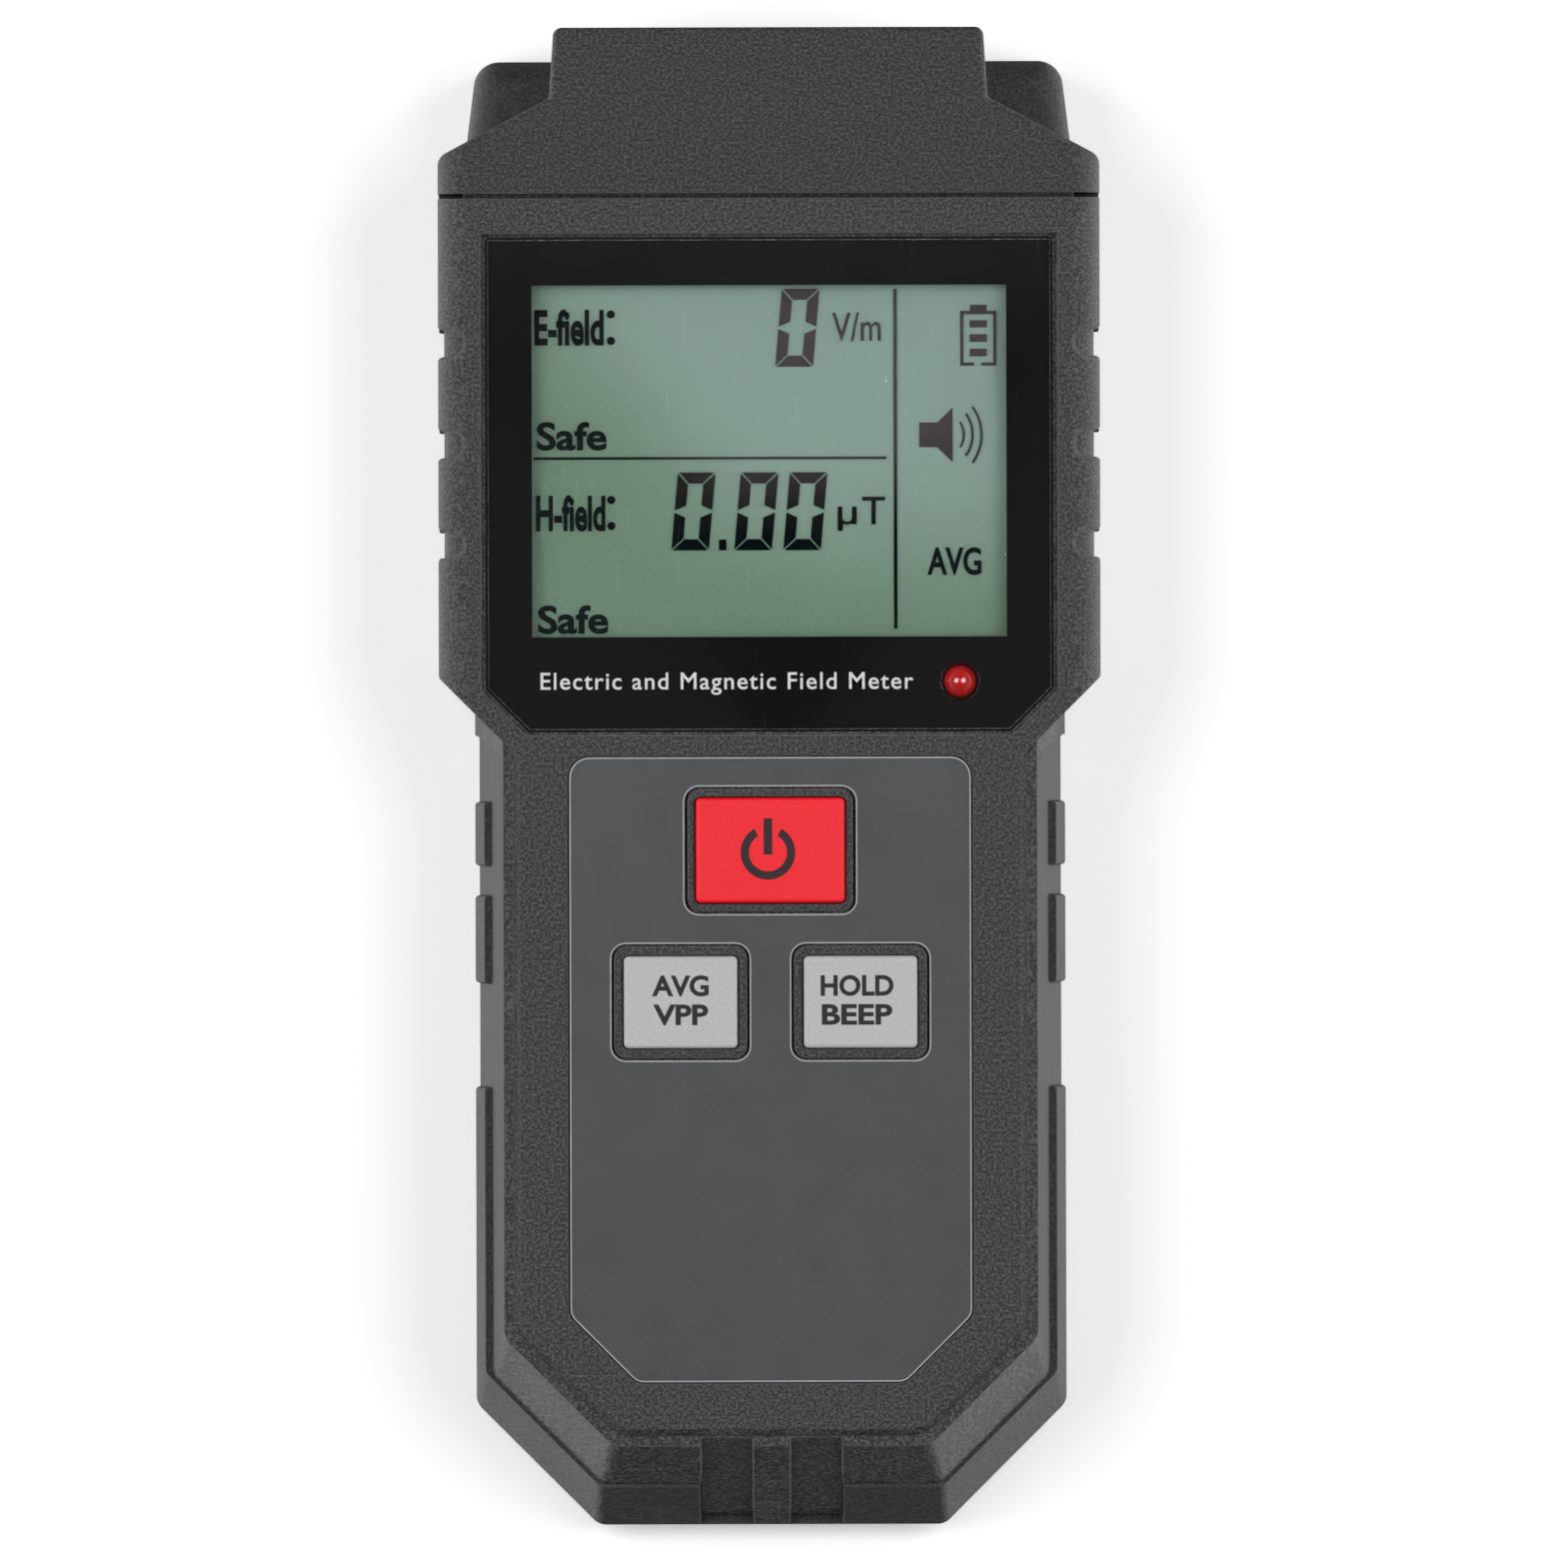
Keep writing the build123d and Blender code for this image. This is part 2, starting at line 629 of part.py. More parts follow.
with BuildPart() as rear_housing:
    add(rear_head_body([(0.0, REAR_INSET), (BELLY_Z, 0.0), (SPLIT_Z, 0.0)]))
    add(rear_ears.part)
    rear_levels = [(0.0, BELLY.inset(REAR_INSET)), (BELLY_Z, BELLY), (SPLIT_Z, RIM)]
    add(handle_body(rear_levels, HANDLE_TOP, REAR_ROUNDS))

    # Hollow: the whole head behind its walls, and the handle
    add(rear_head_body(HEAD_INSIDE), mode=Mode.SUBTRACT)
    with BuildSketch(Plane.XY.offset(BELLY_Z)):
        Polygon(*cap_outline(REAR_HEAD_TOP - CAP_CAVITY_EXTRA))
        offset(amount=-WALL)
        Rectangle(2 * BODY_REACH, 2 * (EAR_TOP - WALL), mode=Mode.INTERSECT)
    extrude(amount=SPLIT_Z - BELLY_Z, mode=Mode.SUBTRACT)
    add(handle_body(REAR_INSIDE, HANDLE_TOP + WALL), mode=Mode.SUBTRACT)

    # Notch for the front shell's tongue
    with BuildSketch(Plane.YZ):
        Polygon(*end_strip(-GROOVE_DEPTH, GROOVE_DEPTH + TONGUE_THICKNESS + TONGUE_GAP))
    extrude(amount=TONGUE_HALF + TONGUE_GAP, both=True, mode=Mode.SUBTRACT)

    # Battery tub
    tub_top = BAY_TOP + TUB_WALL
    tub_bottom = BAY_BOTTOM - TUB_END_WALL
    with BuildSketch():
        with Locations((0.0, 0.5 * (tub_top + tub_bottom))):
            Rectangle(2 * (BAY_HALF + TUB_WALL), tub_top - tub_bottom)
    extrude(amount=BAY_CEILING_Z + BAY_WALL)
    with BuildSketch():
        with Locations((0.0, 0.5 * (BAY_TOP + BAY_BOTTOM))):
            Rectangle(2 * BAY_HALF, BAY_TOP - BAY_BOTTOM)
    extrude(amount=BAY_CEILING_Z, mode=Mode.SUBTRACT)
    # Ledge that the cover lies against, thumb notch and tab pockets
    with BuildSketch():
        with Locations((0.0, 0.5 * (COVER_TOP + COVER_BOTTOM))):
            RectangleRounded(
                2 * (COVER_HALF + COVER_GAP),
                COVER_TOP - COVER_BOTTOM + 2 * COVER_GAP,
                COVER_ROUND + COVER_GAP,
            )
        with Locations((0.0, COVER_TOP)):
            Rectangle(2 * (TONGUE_LATCH_HALF + COVER_GAP), 2 * THUMB_NOTCH_LENGTH)
    extrude(amount=COVER_THICKNESS + COVER_GAP, mode=Mode.SUBTRACT)
    with BuildSketch(Plane.XY.offset(TAB_BOTTOM_Z - COVER_GAP)):
        with Locations(*mirrored((TAB_X, COVER_BOTTOM - 0.5 * TAB_LENGTH))):
            Rectangle(TAB_WIDTH + 2 * COVER_GAP, TAB_LENGTH + 2 * TAB_END_GAP)
    extrude(amount=TAB_SWING_Z - TAB_BOTTOM_Z, mode=Mode.SUBTRACT)
    # Slots for the two contact lugs
    with BuildSketch(Plane.XY.offset(BAY_CEILING_Z)):
        for x, y in ((-CELL_PITCH, BAY_TOP), (CELL_PITCH, BAY_BOTTOM)):
            with Locations((x, y)):
                Rectangle(LUG_WIDTH + 2 * LUG_SLOT_GAP, 2 * (CONTACT_THICKNESS + LUG_SLOT_GAP))
    extrude(amount=BAY_WALL, mode=Mode.SUBTRACT)

    # Screw bosses with countersunk seats
    screw_points = mirrored(CAP_SCREW) + mirrored(BODY_SCREW)
    with BuildSketch(Plane.XY.offset(BOSS_FOOT_Z)):
        with Locations(*screw_points):
            Circle(BOSS_RADIUS)
    extrude(amount=SPLIT_Z - BOSS_FOOT_Z)
    with BuildSketch():
        with Locations(*screw_points):
            Circle(SCREW_HOLE_RADIUS)
    extrude(amount=SPLIT_Z, mode=Mode.SUBTRACT)
    with BuildSketch():
        with Locations(*screw_points):
            Circle(SCREW_RECESS_RADIUS)
    extrude(amount=SCREW_SEAT_Z, mode=Mode.SUBTRACT)

    # Sound holes and label pocket
    with BuildSketch():
        with Locations((0.0, BUZZER_Y)):
            Circle(SOUND_HOLE_RADIUS)
            with PolarLocations(SOUND_RING_RADIUS, SOUND_HOLE_COUNT):
                Circle(SOUND_HOLE_RADIUS)
    extrude(amount=FLOOR_Z, mode=Mode.SUBTRACT)
    with BuildSketch():
        with Locations((0.0, LABEL_Y)):
            RectangleRounded(
                LABEL_SIZE[0] + 2 * COVER_GAP,
                LABEL_SIZE[1] + 2 * COVER_GAP,
                COVER_ROUND + COVER_GAP,
            )
    extrude(amount=LABEL_POCKET, mode=Mode.SUBTRACT)

    add(side_notches.part, mode=Mode.SUBTRACT)

    # Grip pockets, and the blocks left standing between the grips' fingers
    add(grip_pockets.part, mode=Mode.SUBTRACT)
    block_ends = [BLOCKS[0][0], BLOCKS[0][1], BLOCKS[1][0], BLOCKS[1][1], LAST_BLOCK]
    outer_edges = rear_housing.edges().filter_by(
        lambda e: abs(e.center().X) > RIM.side and BELLY_Z < e.center().Z < SPLIT_Z
    )
    for end in block_ends:
        fillet(outer_edges.filter_by(lambda e: abs(e.center().Y - end) < SAME_LEVEL), BLOCK_EDGE_ROUND)
rear_housing.part.label = "rear_housing"
export_step(rear_housing.part, "parts/rear_housing.step")

# Battery cover -----------------------------------------------------------------

GROOVE_SIZE = (12.0, 0.8)
GROOVE_PITCH = 2.0
GROOVE_COUNT = 4
GROOVE_CUT = 0.35
GROOVE_Y = -11.0

with BuildPart() as battery_cover:
    with BuildSketch():
        with Locations((0.0, 0.5 * (COVER_TOP + COVER_BOTTOM))):
            RectangleRounded(2 * COVER_HALF, COVER_TOP - COVER_BOTTOM, COVER_ROUND)
        with Locations((0.0, COVER_TOP)):
            Rectangle(2 * TONGUE_LATCH_HALF, 2 * LATCH_LENGTH)
    extrude(amount=COVER_THICKNESS)
    with BuildSketch(Plane.XY.offset(TAB_BOTTOM_Z)):
        with Locations(*mirrored((TAB_X, COVER_BOTTOM - TAB_LENGTH))):
            Rectangle(TAB_WIDTH, TAB_LENGTH + TAB_ROOT, align=(Align.CENTER, Align.MIN))
    extrude(amount=COVER_THICKNESS - TAB_BOTTOM_Z)
    with BuildSketch():
        with Locations((0.0, GROOVE_Y)):
            with GridLocations(0.0, GROOVE_PITCH, 1, GROOVE_COUNT):
                Rectangle(*GROOVE_SIZE)
    extrude(amount=GROOVE_CUT, mode=Mode.SUBTRACT)
battery_cover.part.label = "battery_cover"
export_step(battery_cover.part, "parts/battery_cover.step")

with BuildPart() as rear_label:
    with BuildSketch(Plane.XY.offset(LABEL_POCKET - LABEL_THICKNESS)):
        with Locations((0.0, LABEL_Y)):
            RectangleRounded(*LABEL_SIZE, COVER_ROUND)
    extrude(amount=LABEL_THICKNESS)
rear_label.part.label = "rear_label"
export_step(rear_label.part, "parts/rear_label.step")

# Window, its tape and its printed mask -------------------------------------------

LENS_ROUND = 0.4
LENS_EDGE_CHAMFER = 0.2
MASK_MARGIN = 0.3
TAPE_WIDTH = 1.6

with BuildSketch() as lens_outline:
    Polygon(*cut_corner_outline(*LENS_OUTLINE))
    fillet(lens_outline.vertices(), LENS_ROUND)

with BuildPart() as display_lens:
    with BuildSketch(Plane.XY.offset(MASK_TOP_Z)):
        add(lens_outline.sketch)
        with Locations(LED_POINT):
            Circle(LED_HOLE_RADIUS, mode=Mode.SUBTRACT)
    extrude(amount=LENS_TOP_Z - MASK_TOP_Z)
    chamfer(display_lens.edges().group_by(Axis.Z)[-1], LENS_EDGE_CHAMFER)
display_lens.part.label = "display_lens"
export_step(display_lens.part, "parts/display_lens.step")

with BuildPart() as lens_mask:
    with BuildSketch(Plane.XY.offset(TAPE_TOP_Z)):
        add(lens_outline.sketch)
        offset(amount=-MASK_MARGIN)
        with Locations((0.0, WINDOW_Y)):
            Rectangle(*WINDOW_SIZE, mode=Mode.SUBTRACT)
        with Locations(LED_POINT):
            Circle(LED_HOLE_RADIUS, mode=Mode.SUBTRACT)
    extrude(amount=MASK_TOP_Z - TAPE_TOP_Z)
lens_mask.part.label = "lens_mask"
export_step(lens_mask.part, "parts/lens_mask.step")

with BuildPart() as lens_tape:
    with BuildSketch(Plane.XY.offset(RECESS_FLOOR_Z)) as tape_ring:
        add(lens_outline.sketch)
        offset(amount=-MASK_MARGIN)
        with BuildSketch(mode=Mode.PRIVATE) as tape_inside:
            add(lens_outline.sketch)
            offset(amount=-MASK_MARGIN - TAPE_WIDTH)
        add(tape_inside.sketch, mode=Mode.SUBTRACT)
    extrude(amount=TAPE_TOP_Z - RECESS_FLOOR_Z)
lens_tape.part.label = "lens_tape"
export_step(lens_tape.part, "parts/lens_tape.step")

# Display stack ---------------------------------------------------------------------

with BuildPart() as lcd_glass:
    with BuildSketch(Plane.XY.offset(GLASS_BOTTOM_Z)):
        with Locations((0.0, WINDOW_Y)):
            Rectangle(*GLASS_SIZE)
    extrude(amount=GLASS_TOP_Z - GLASS_BOTTOM_Z)
lcd_glass.part.label = "lcd_glass"
export_step(lcd_glass.part, "parts/lcd_glass.step")

with BuildPart() as lcd_backlight:
    with BuildSketch(Plane.XY.offset(BOARD_TOP_Z)):
        with Locations((0.0, WINDOW_Y)):
            Rectangle(*BACKLIGHT_SIZE)
    extrude(amount=GLASS_BOTTOM_Z - BOARD_TOP_Z)
lcd_backlight.part.label = "lcd_backlight"
export_step(lcd_backlight.part, "parts/lcd_backlight.step")

with BuildPart() as elastomer_connector:
    with BuildSketch(Plane.XY.offset(BOARD_TOP_Z)):
        with Locations((0.0, STRIP_Y)):
            Rectangle(*STRIP_SIZE)
    extrude(amount=GLASS_BOTTOM_Z - BOARD_TOP_Z)
elastomer_connector.part.label = "elastomer_connector"
export_step(elastomer_connector.part, "parts/elastomer_connector.step")

with BuildPart() as lcd_holder:
    with BuildSketch(Plane.XY.offset(BOARD_TOP_Z)):
        with Locations((0.0, WINDOW_Y)):
            Rectangle(*LCD_HOLDER_SIZE)
    extrude(amount=LCD_HOLDER_TOP_Z - BOARD_TOP_Z)
    with BuildSketch(Plane.XY.offset(GLASS_BOTTOM_Z)):
        with Locations((0.0, WINDOW_Y)):
            Rectangle(GLASS_SIZE[0] + 2 * SLIP, GLASS_SIZE[1] + 2 * SLIP)
    extrude(amount=LCD_HOLDER_TOP_Z - GLASS_BOTTOM_Z, mode=Mode.SUBTRACT)
    with BuildSketch(Plane.XY.offset(BOARD_TOP_Z)):
        with Locations((0.0, WINDOW_Y)):
            Rectangle(BACKLIGHT_SIZE[0] + 2 * SLIP, BACKLIGHT_SIZE[1] + 2 * SLIP)
        with Locations((0.0, STRIP_Y)):
            Rectangle(STRIP_SIZE[0] + 2 * SLIP, STRIP_SIZE[1] + 3 * SLIP)
    extrude(amount=GLASS_BOTTOM_Z - BOARD_TOP_Z, mode=Mode.SUBTRACT)
lcd_holder.part.label = "lcd_holder"
export_step(lcd_holder.part, "parts/lcd_holder.step")

# Alarm lamp: two legs, a rim and a domed body ----------------------------------------

LED_RADIUS = 1.45
LED_RIM_RADIUS = 1.8
LED_RIM_BOTTOM_Z = 22.8
LED_RIM_TOP_Z = 23.6
LED_TOP_Z = 29.15
LEG_SIZE = 0.5
LEG_PITCH = 1.27

with BuildPart() as alarm_led:
    with BuildSketch(Plane(origin=(*LED_POINT, 0.0), x_dir=(1.0, 0.0, 0.0), z_dir=(0.0, -1.0, 0.0))):
        with BuildLine():
            Polyline(
                (0.0, LED_TOP_Z - LED_RADIUS),
                (0.0, LED_RIM_BOTTOM_Z),
                (LED_RIM_RADIUS, LED_RIM_BOTTOM_Z),
                (LED_RIM_RADIUS, LED_RIM_TOP_Z),
                (LED_RADIUS, LED_RIM_TOP_Z),
                (LED_RADIUS, LED_TOP_Z - LED_RADIUS),
            )
            CenterArc((0.0, LED_TOP_Z - LED_RADIUS), LED_RADIUS, 0.0, 90.0)
            Line((0.0, LED_TOP_Z), (0.0, LED_TOP_Z - LED_RADIUS))
        make_face()
    revolve(axis=Axis((*LED_POINT, 0.0), (0.0, 0.0, 1.0)))
    with BuildSketch(Plane((*LED_POINT, BOARD_TOP_Z))):
        with Locations(*mirrored((LEG_PITCH, 0.0))):
            Rectangle(LEG_SIZE, LEG_SIZE)
    extrude(amount=LED_RIM_BOTTOM_Z - BOARD_TOP_Z)
alarm_led.part.label = "alarm_led"
export_step(alarm_led.part, "parts/alarm_led.step")

# Keypad overlay, keys and their switches ------------------------------------------------

with BuildPart() as keypad_panel:
    with BuildSketch(Plane.XY.offset(PANEL_FLOOR_Z)):
        add(panel_outline.sketch)
        for key in KEYS:
            with Locations((key.x, key.y)):
                RectangleRounded(
                    key.width + 2 * key.cutout_margin,
                    key.height + 2 * key.cutout_margin,
                    CUTOUT_ROUND,
                    mode=Mode.SUBTRACT,
                )
    extrude(amount=FACE_Z - PANEL_FLOOR_Z)
keypad_panel.part.label = "keypad_panel"
export_step(keypad_panel.part, "parts/keypad_panel.step")

KEY_EDGE_ROUND = 0.3
POST_SIZE = 4.0
SWITCH_WELL_Z = 22.3
PLUNGER_GAP = 0.1
TERMINAL_SIZE = (1.2, 0.7)
TERMINAL_HEIGHT = 0.3
TERMINAL_PITCH = 4.5
TERMINAL_OVERLAP = 0.1

for key in KEYS:
    plane = Plane((key.x, key.y, 0.0))

    with BuildPart() as button:
        with BuildSketch(plane.offset(FLANGE_BOTTOM_Z)):
            Rectangle(key.width + 2 * FLANGE_MARGIN, key.height + 2 * FLANGE_MARGIN)
        extrude(amount=FLANGE_TOP_Z - FLANGE_BOTTOM_Z)
        with BuildSketch(plane.offset(FLANGE_BOTTOM_Z)):
            RectangleRounded(key.width, key.height, KEY_ROUND)
        extrude(amount=KEY_TOP_Z - FLANGE_BOTTOM_Z)
        fillet(button.edges().group_by(Axis.Z)[-1], KEY_EDGE_ROUND)
        # Hollow underneath, round a post that meets the plunger
        with BuildSketch(plane.offset(FLANGE_BOTTOM_Z)):
            Rectangle(key.width - 2 * KEY_WALL, key.height - 2 * KEY_WALL)
            Rectangle(POST_SIZE, POST_SIZE, mode=Mode.SUBTRACT)
        extrude(amount=KEY_POCKET_Z - FLANGE_BOTTOM_Z, mode=Mode.SUBTRACT)
    button.part.label = f"{key.name}_button"
    export_step(button.part, f"parts/{key.name}_button.step")

    with BuildPart() as plunger:
        with BuildSketch(plane.offset(PLUNGER_BOTTOM_Z)):
            Circle(PLUNGER_RADIUS)
        extrude(amount=FLANGE_BOTTOM_Z - PLUNGER_BOTTOM_Z)
    plunger.part.label = f"{key.name}_plunger"
    export_step(plunger.part, f"parts/{key.name}_plunger.step")

    with BuildPart() as switch:
        with BuildSketch(plane.offset(BOARD_TOP_Z)):
            Rectangle(SWITCH_SIZE, SWITCH_SIZE)
        extrude(amount=SWITCH_TOP_Z - BOARD_TOP_Z)
        with BuildSketch(plane.offset(SWITCH_WELL_Z)):
            Circle(PLUNGER_RADIUS + PLUNGER_GAP)
        extrude(amount=SWITCH_TOP_Z - SWITCH_WELL_Z, mode=Mode.SUBTRACT)
        with BuildSketch(plane.offset(BOARD_TOP_Z)):
            with GridLocations(SWITCH_SIZE + TERMINAL_SIZE[0] - TERMINAL_OVERLAP, TERMINAL_PITCH, 2, 2):
                Rectangle(*TERMINAL_SIZE)
        extrude(amount=TERMINAL_HEIGHT)
    switch.part.label = f"{key.name}_switch"
    export_step(switch.part, f"parts/{key.name}_switch.step")

# Main board -----------------------------------------------------------------------------

BOSS_CLEARANCE = 0.3
BOARD_SCREW_CLEARANCE = 0.1
board_right = [
    (BOARD_HANDLE_HALF - BOARD_CUT, BOARD_BOTTOM),
    (BOARD_HANDLE_HALF, BOARD_BOTTOM + BOARD_CUT),
    (BOARD_HANDLE_HALF, BOARD_HANDLE_HALF - BOARD_WAIST_LINE),
    (BOARD_HEAD_HALF, BOARD_HEAD_HALF - BOARD_WAIST_LINE),
    (BOARD_HEAD_HALF, BOARD_SHOULDER),
    (BOARD_TONGUE_HALF, BOARD_SHOULDER),
    (BOARD_TONGUE_HALF, BOARD_TOP),
]
with BuildPart() as main_board:
    with BuildSketch(Plane.XY.offset(BOARD_BOTTOM_Z)):
        Polygon(*board_right, *[(-x, y) for x, y in reversed(board_right)])
        with Locations(*mirrored(BODY_SCREW)):
            Circle(BOSS_RADIUS + BOSS_CLEARANCE, mode=Mode.SUBTRACT)
        with Locations(*mirrored(BOARD_SCREW_TOP), *mirrored(BOARD_SCREW_LOW)):
            Circle(BOARD_SCREW_RADIUS + BOARD_SCREW_CLEARANCE, mode=Mode.SUBTRACT)
    extrude(amount=BOARD_TOP_Z - BOARD_BOTTOM_Z)
main_board.part.label = "main_board"
export_step(main_board.part, "parts/main_board.step")

# Chips: a square flat pack on top, and three small ones under the head ---------------------

FLAT_PACK_SIZE = 10.0
FLAT_PACK_HEIGHT = 1.4
LEAD_PITCH = 0.8
LEADS_PER_SIDE = 11
LEAD_WIDTH, LEAD_LENGTH, LEAD_HEIGHT = 0.35, 1.2, 0.5
SMALL_CHIP_SIZE = (5.0, 4.0)
SMALL_CHIP_HEIGHT = 1.5
SMALL_LEAD_PITCH = 1.27
SMALL_LEADS_PER_SIDE = 4
SMALL_CHIP_POINTS = [(-15.0, 40.0), (15.0, 40.0), (-6.0, 56.0)]

with BuildPart() as microcontroller:
    with BuildSketch(Plane((0.0, CHIP_Y, BOARD_TOP_Z))):
        Rectangle(FLAT_PACK_SIZE, FLAT_PACK_SIZE)
    extrude(amount=FLAT_PACK_HEIGHT)
    with BuildSketch(Plane((0.0, CHIP_Y, BOARD_TOP_Z))):
        with GridLocations(FLAT_PACK_SIZE + LEAD_LENGTH, LEAD_PITCH, 2, LEADS_PER_SIDE):
            Rectangle(LEAD_LENGTH, LEAD_WIDTH)
        with GridLocations(LEAD_PITCH, FLAT_PACK_SIZE + LEAD_LENGTH, LEADS_PER_SIDE, 2):
            Rectangle(LEAD_WIDTH, LEAD_LENGTH)
    extrude(amount=LEAD_HEIGHT)
microcontroller.part.label = "microcontroller"
export_step(microcontroller.part, "parts/microcontroller.step")

with BuildPart() as analog_chips:
    with BuildSketch(Plane.XY.offset(BOARD_BOTTOM_Z)):
        with Locations(*SMALL_CHIP_POINTS):
            Rectangle(*SMALL_CHIP_SIZE)
    extrude(amount=-SMALL_CHIP_HEIGHT)
    with BuildSketch(Plane.XY.offset(BOARD_BOTTOM_Z)):
        with Locations(*SMALL_CHIP_POINTS):
            with GridLocations(SMALL_LEAD_PITCH, SMALL_CHIP_SIZE[1] + LEAD_LENGTH, SMALL_LEADS_PER_SIDE, 2):
                Rectangle(LEAD_WIDTH, LEAD_LENGTH)
    extrude(amount=-LEAD_HEIGHT)
analog_chips.part.label = "analog_chips"
export_step(analog_chips.part, "parts/analog_chips.step")

CRYSTAL_X = 11.5
CRYSTAL_SIZE = (4.6, 11.2)
CRYSTAL_HEIGHT = 3.4
CRYSTAL_EDGE_ROUND = 0.5
with BuildPart() as crystal:
    with BuildSketch(Plane((CRYSTAL_X, CHIP_Y, BOARD_TOP_Z))):
        SlotOverall(CRYSTAL_SIZE[1], CRYSTAL_SIZE[0], rotation=90.0)
    extrude(amount=CRYSTAL_HEIGHT)
    fillet(crystal.edges().group_by(Axis.Z)[-1], CRYSTAL_EDGE_ROUND)
crystal.part.label = "crystal"
export_step(crystal.part, "parts/crystal.step")

CHIP_PART_SIZE = (2.0, 1.2)
CHIP_PART_HEIGHT = 0.7
TOP_GRID_PITCH = (4.0, 3.0)
END_GRID_Y, END_GRID_COUNT = -50.0, (6, 2)
SIDE_GRID_X, SIDE_GRID_COUNT = -11.5, (2, 3)
UNDER_GRID_Y, UNDER_GRID_PITCH, UNDER_GRID_COUNT = 26.0, (6.0, 4.0), (6, 3)
with BuildPart() as chip_parts:
    with BuildSketch(Plane((0.0, END_GRID_Y, BOARD_TOP_Z))):
        with GridLocations(*TOP_GRID_PITCH, *END_GRID_COUNT):
            Rectangle(*CHIP_PART_SIZE)
    extrude(amount=CHIP_PART_HEIGHT)
    with BuildSketch(Plane((SIDE_GRID_X, CHIP_Y, BOARD_TOP_Z))):
        with GridLocations(*TOP_GRID_PITCH, *SIDE_GRID_COUNT):
            Rectangle(*CHIP_PART_SIZE)
    extrude(amount=CHIP_PART_HEIGHT)
    with BuildSketch(Plane((0.0, UNDER_GRID_Y, BOARD_BOTTOM_Z))):
        with GridLocations(*UNDER_GRID_PITCH, *UNDER_GRID_COUNT):
            Rectangle(*CHIP_PART_SIZE)
    extrude(amount=-CHIP_PART_HEIGHT)
chip_parts.part.label = "chip_parts"
export_step(chip_parts.part, "parts/chip_parts.step")

BUZZER_HOLE_RADIUS = 1.0
BUZZER_HOLE_DEPTH = 1.5
BUZZER_EDGE_ROUND = 0.4
with BuildPart() as buzzer:
    with BuildSketch(Plane((0.0, BUZZER_Y, BOARD_BOTTOM_Z))):
        Circle(BUZZER_RADIUS)
    extrude(amount=BUZZER_BOTTOM_Z - BOARD_BOTTOM_Z)
    fillet(buzzer.edges().group_by(Axis.Z)[0], BUZZER_EDGE_ROUND)
    with BuildSketch(Plane((0.0, BUZZER_Y, BUZZER_BOTTOM_Z))):
        Circle(BUZZER_HOLE_RADIUS)
    extrude(amount=BUZZER_HOLE_DEPTH, mode=Mode.SUBTRACT)
buzzer.part.label = "buzzer"
export_step(buzzer.part, "parts/buzzer.step")

# Sensors in the nose -------------------------------------------------------------------------

coil_origin = (0.0, COIL_Y, BOARD_TOP_Z + WINDING_RADIUS)
coil_plane = Plane(origin=coil_origin, x_dir=(0.0, 1.0, 0.0), z_dir=(1.0, 0.0, 0.0))
with BuildPart() as field_coil_core:
    with BuildSketch(coil_plane):
        Circle(CORE_RADIUS)
    extrude(amount=CORE_HALF, both=True)
field_coil_core.part.label = "field_coil_core"
export_step(field_coil_core.part, "parts/field_coil_core.step")

with BuildPart() as field_coil_winding:
    with BuildSketch(coil_plane):
        Circle(WINDING_RADIUS)
        Circle(CORE_RADIUS, mode=Mode.SUBTRACT)
    extrude(amount=WINDING_HALF, both=True)
field_coil_winding.part.label = "field_coil_winding"
export_step(field_coil_winding.part, "parts/field_coil_winding.step")

PLATE_SIZE = (32.0, 9.0)
PLATE_Y = 59.6
PLATE_THICKNESS = 0.3
with BuildPart() as e_field_plate:
    with BuildSketch(Plane((0.0, PLATE_Y, CAP_CEILING_Z - PLATE_THICKNESS))):
        Rectangle(*PLATE_SIZE)
    extrude(amount=PLATE_THICKNESS)
e_field_plate.part.label = "e_field_plate"
export_step(e_field_plate.part, "parts/e_field_plate.step")

# Cells, springs and contacts --------------------------------------------------------------------

# The middle cell lies the other way round, so that the three are in series.
upper_end = BAY_TOP - CONTACT_THICKNESS
lower_end = BAY_BOTTOM + CONTACT_THICKNESS
for number, direction in enumerate((1, -1, 1), start=1):
    cell_x = (number - 2) * CELL_PITCH
    nub_end = upper_end if direction > 0 else lower_end
    nub_centre = (cell_x, nub_end, CELL_Z)
    cell_plane = Plane(origin=nub_centre, x_dir=(1.0, 0.0, 0.0), z_dir=(0.0, -direction, 0.0))
    with BuildPart() as battery_cell:
        with BuildSketch(cell_plane):
            Circle(NUB_RADIUS)
        extrude(amount=NUB_LENGTH)
        with BuildSketch(cell_plane.offset(NUB_LENGTH)):
            Circle(CELL_RADIUS)
        extrude(amount=CELL_LENGTH - NUB_LENGTH)
    battery_cell.part.label = f"battery_cell_{number}"
    export_step(battery_cell.part, f"parts/battery_cell_{number}.step")

spring_rise = upper_end - lower_end - CELL_LENGTH - 2 * WIRE_RADIUS
with BuildPart() as battery_spring:
    with BuildLine() as coil_line:
        Helix(spring_rise / SPRING_TURNS, spring_rise, SPRING_RADIUS)
    with BuildSketch(Plane(coil_line.line @ 0, z_dir=coil_line.line % 0)):
        Circle(WIRE_RADIUS)
    sweep(is_frenet=True)

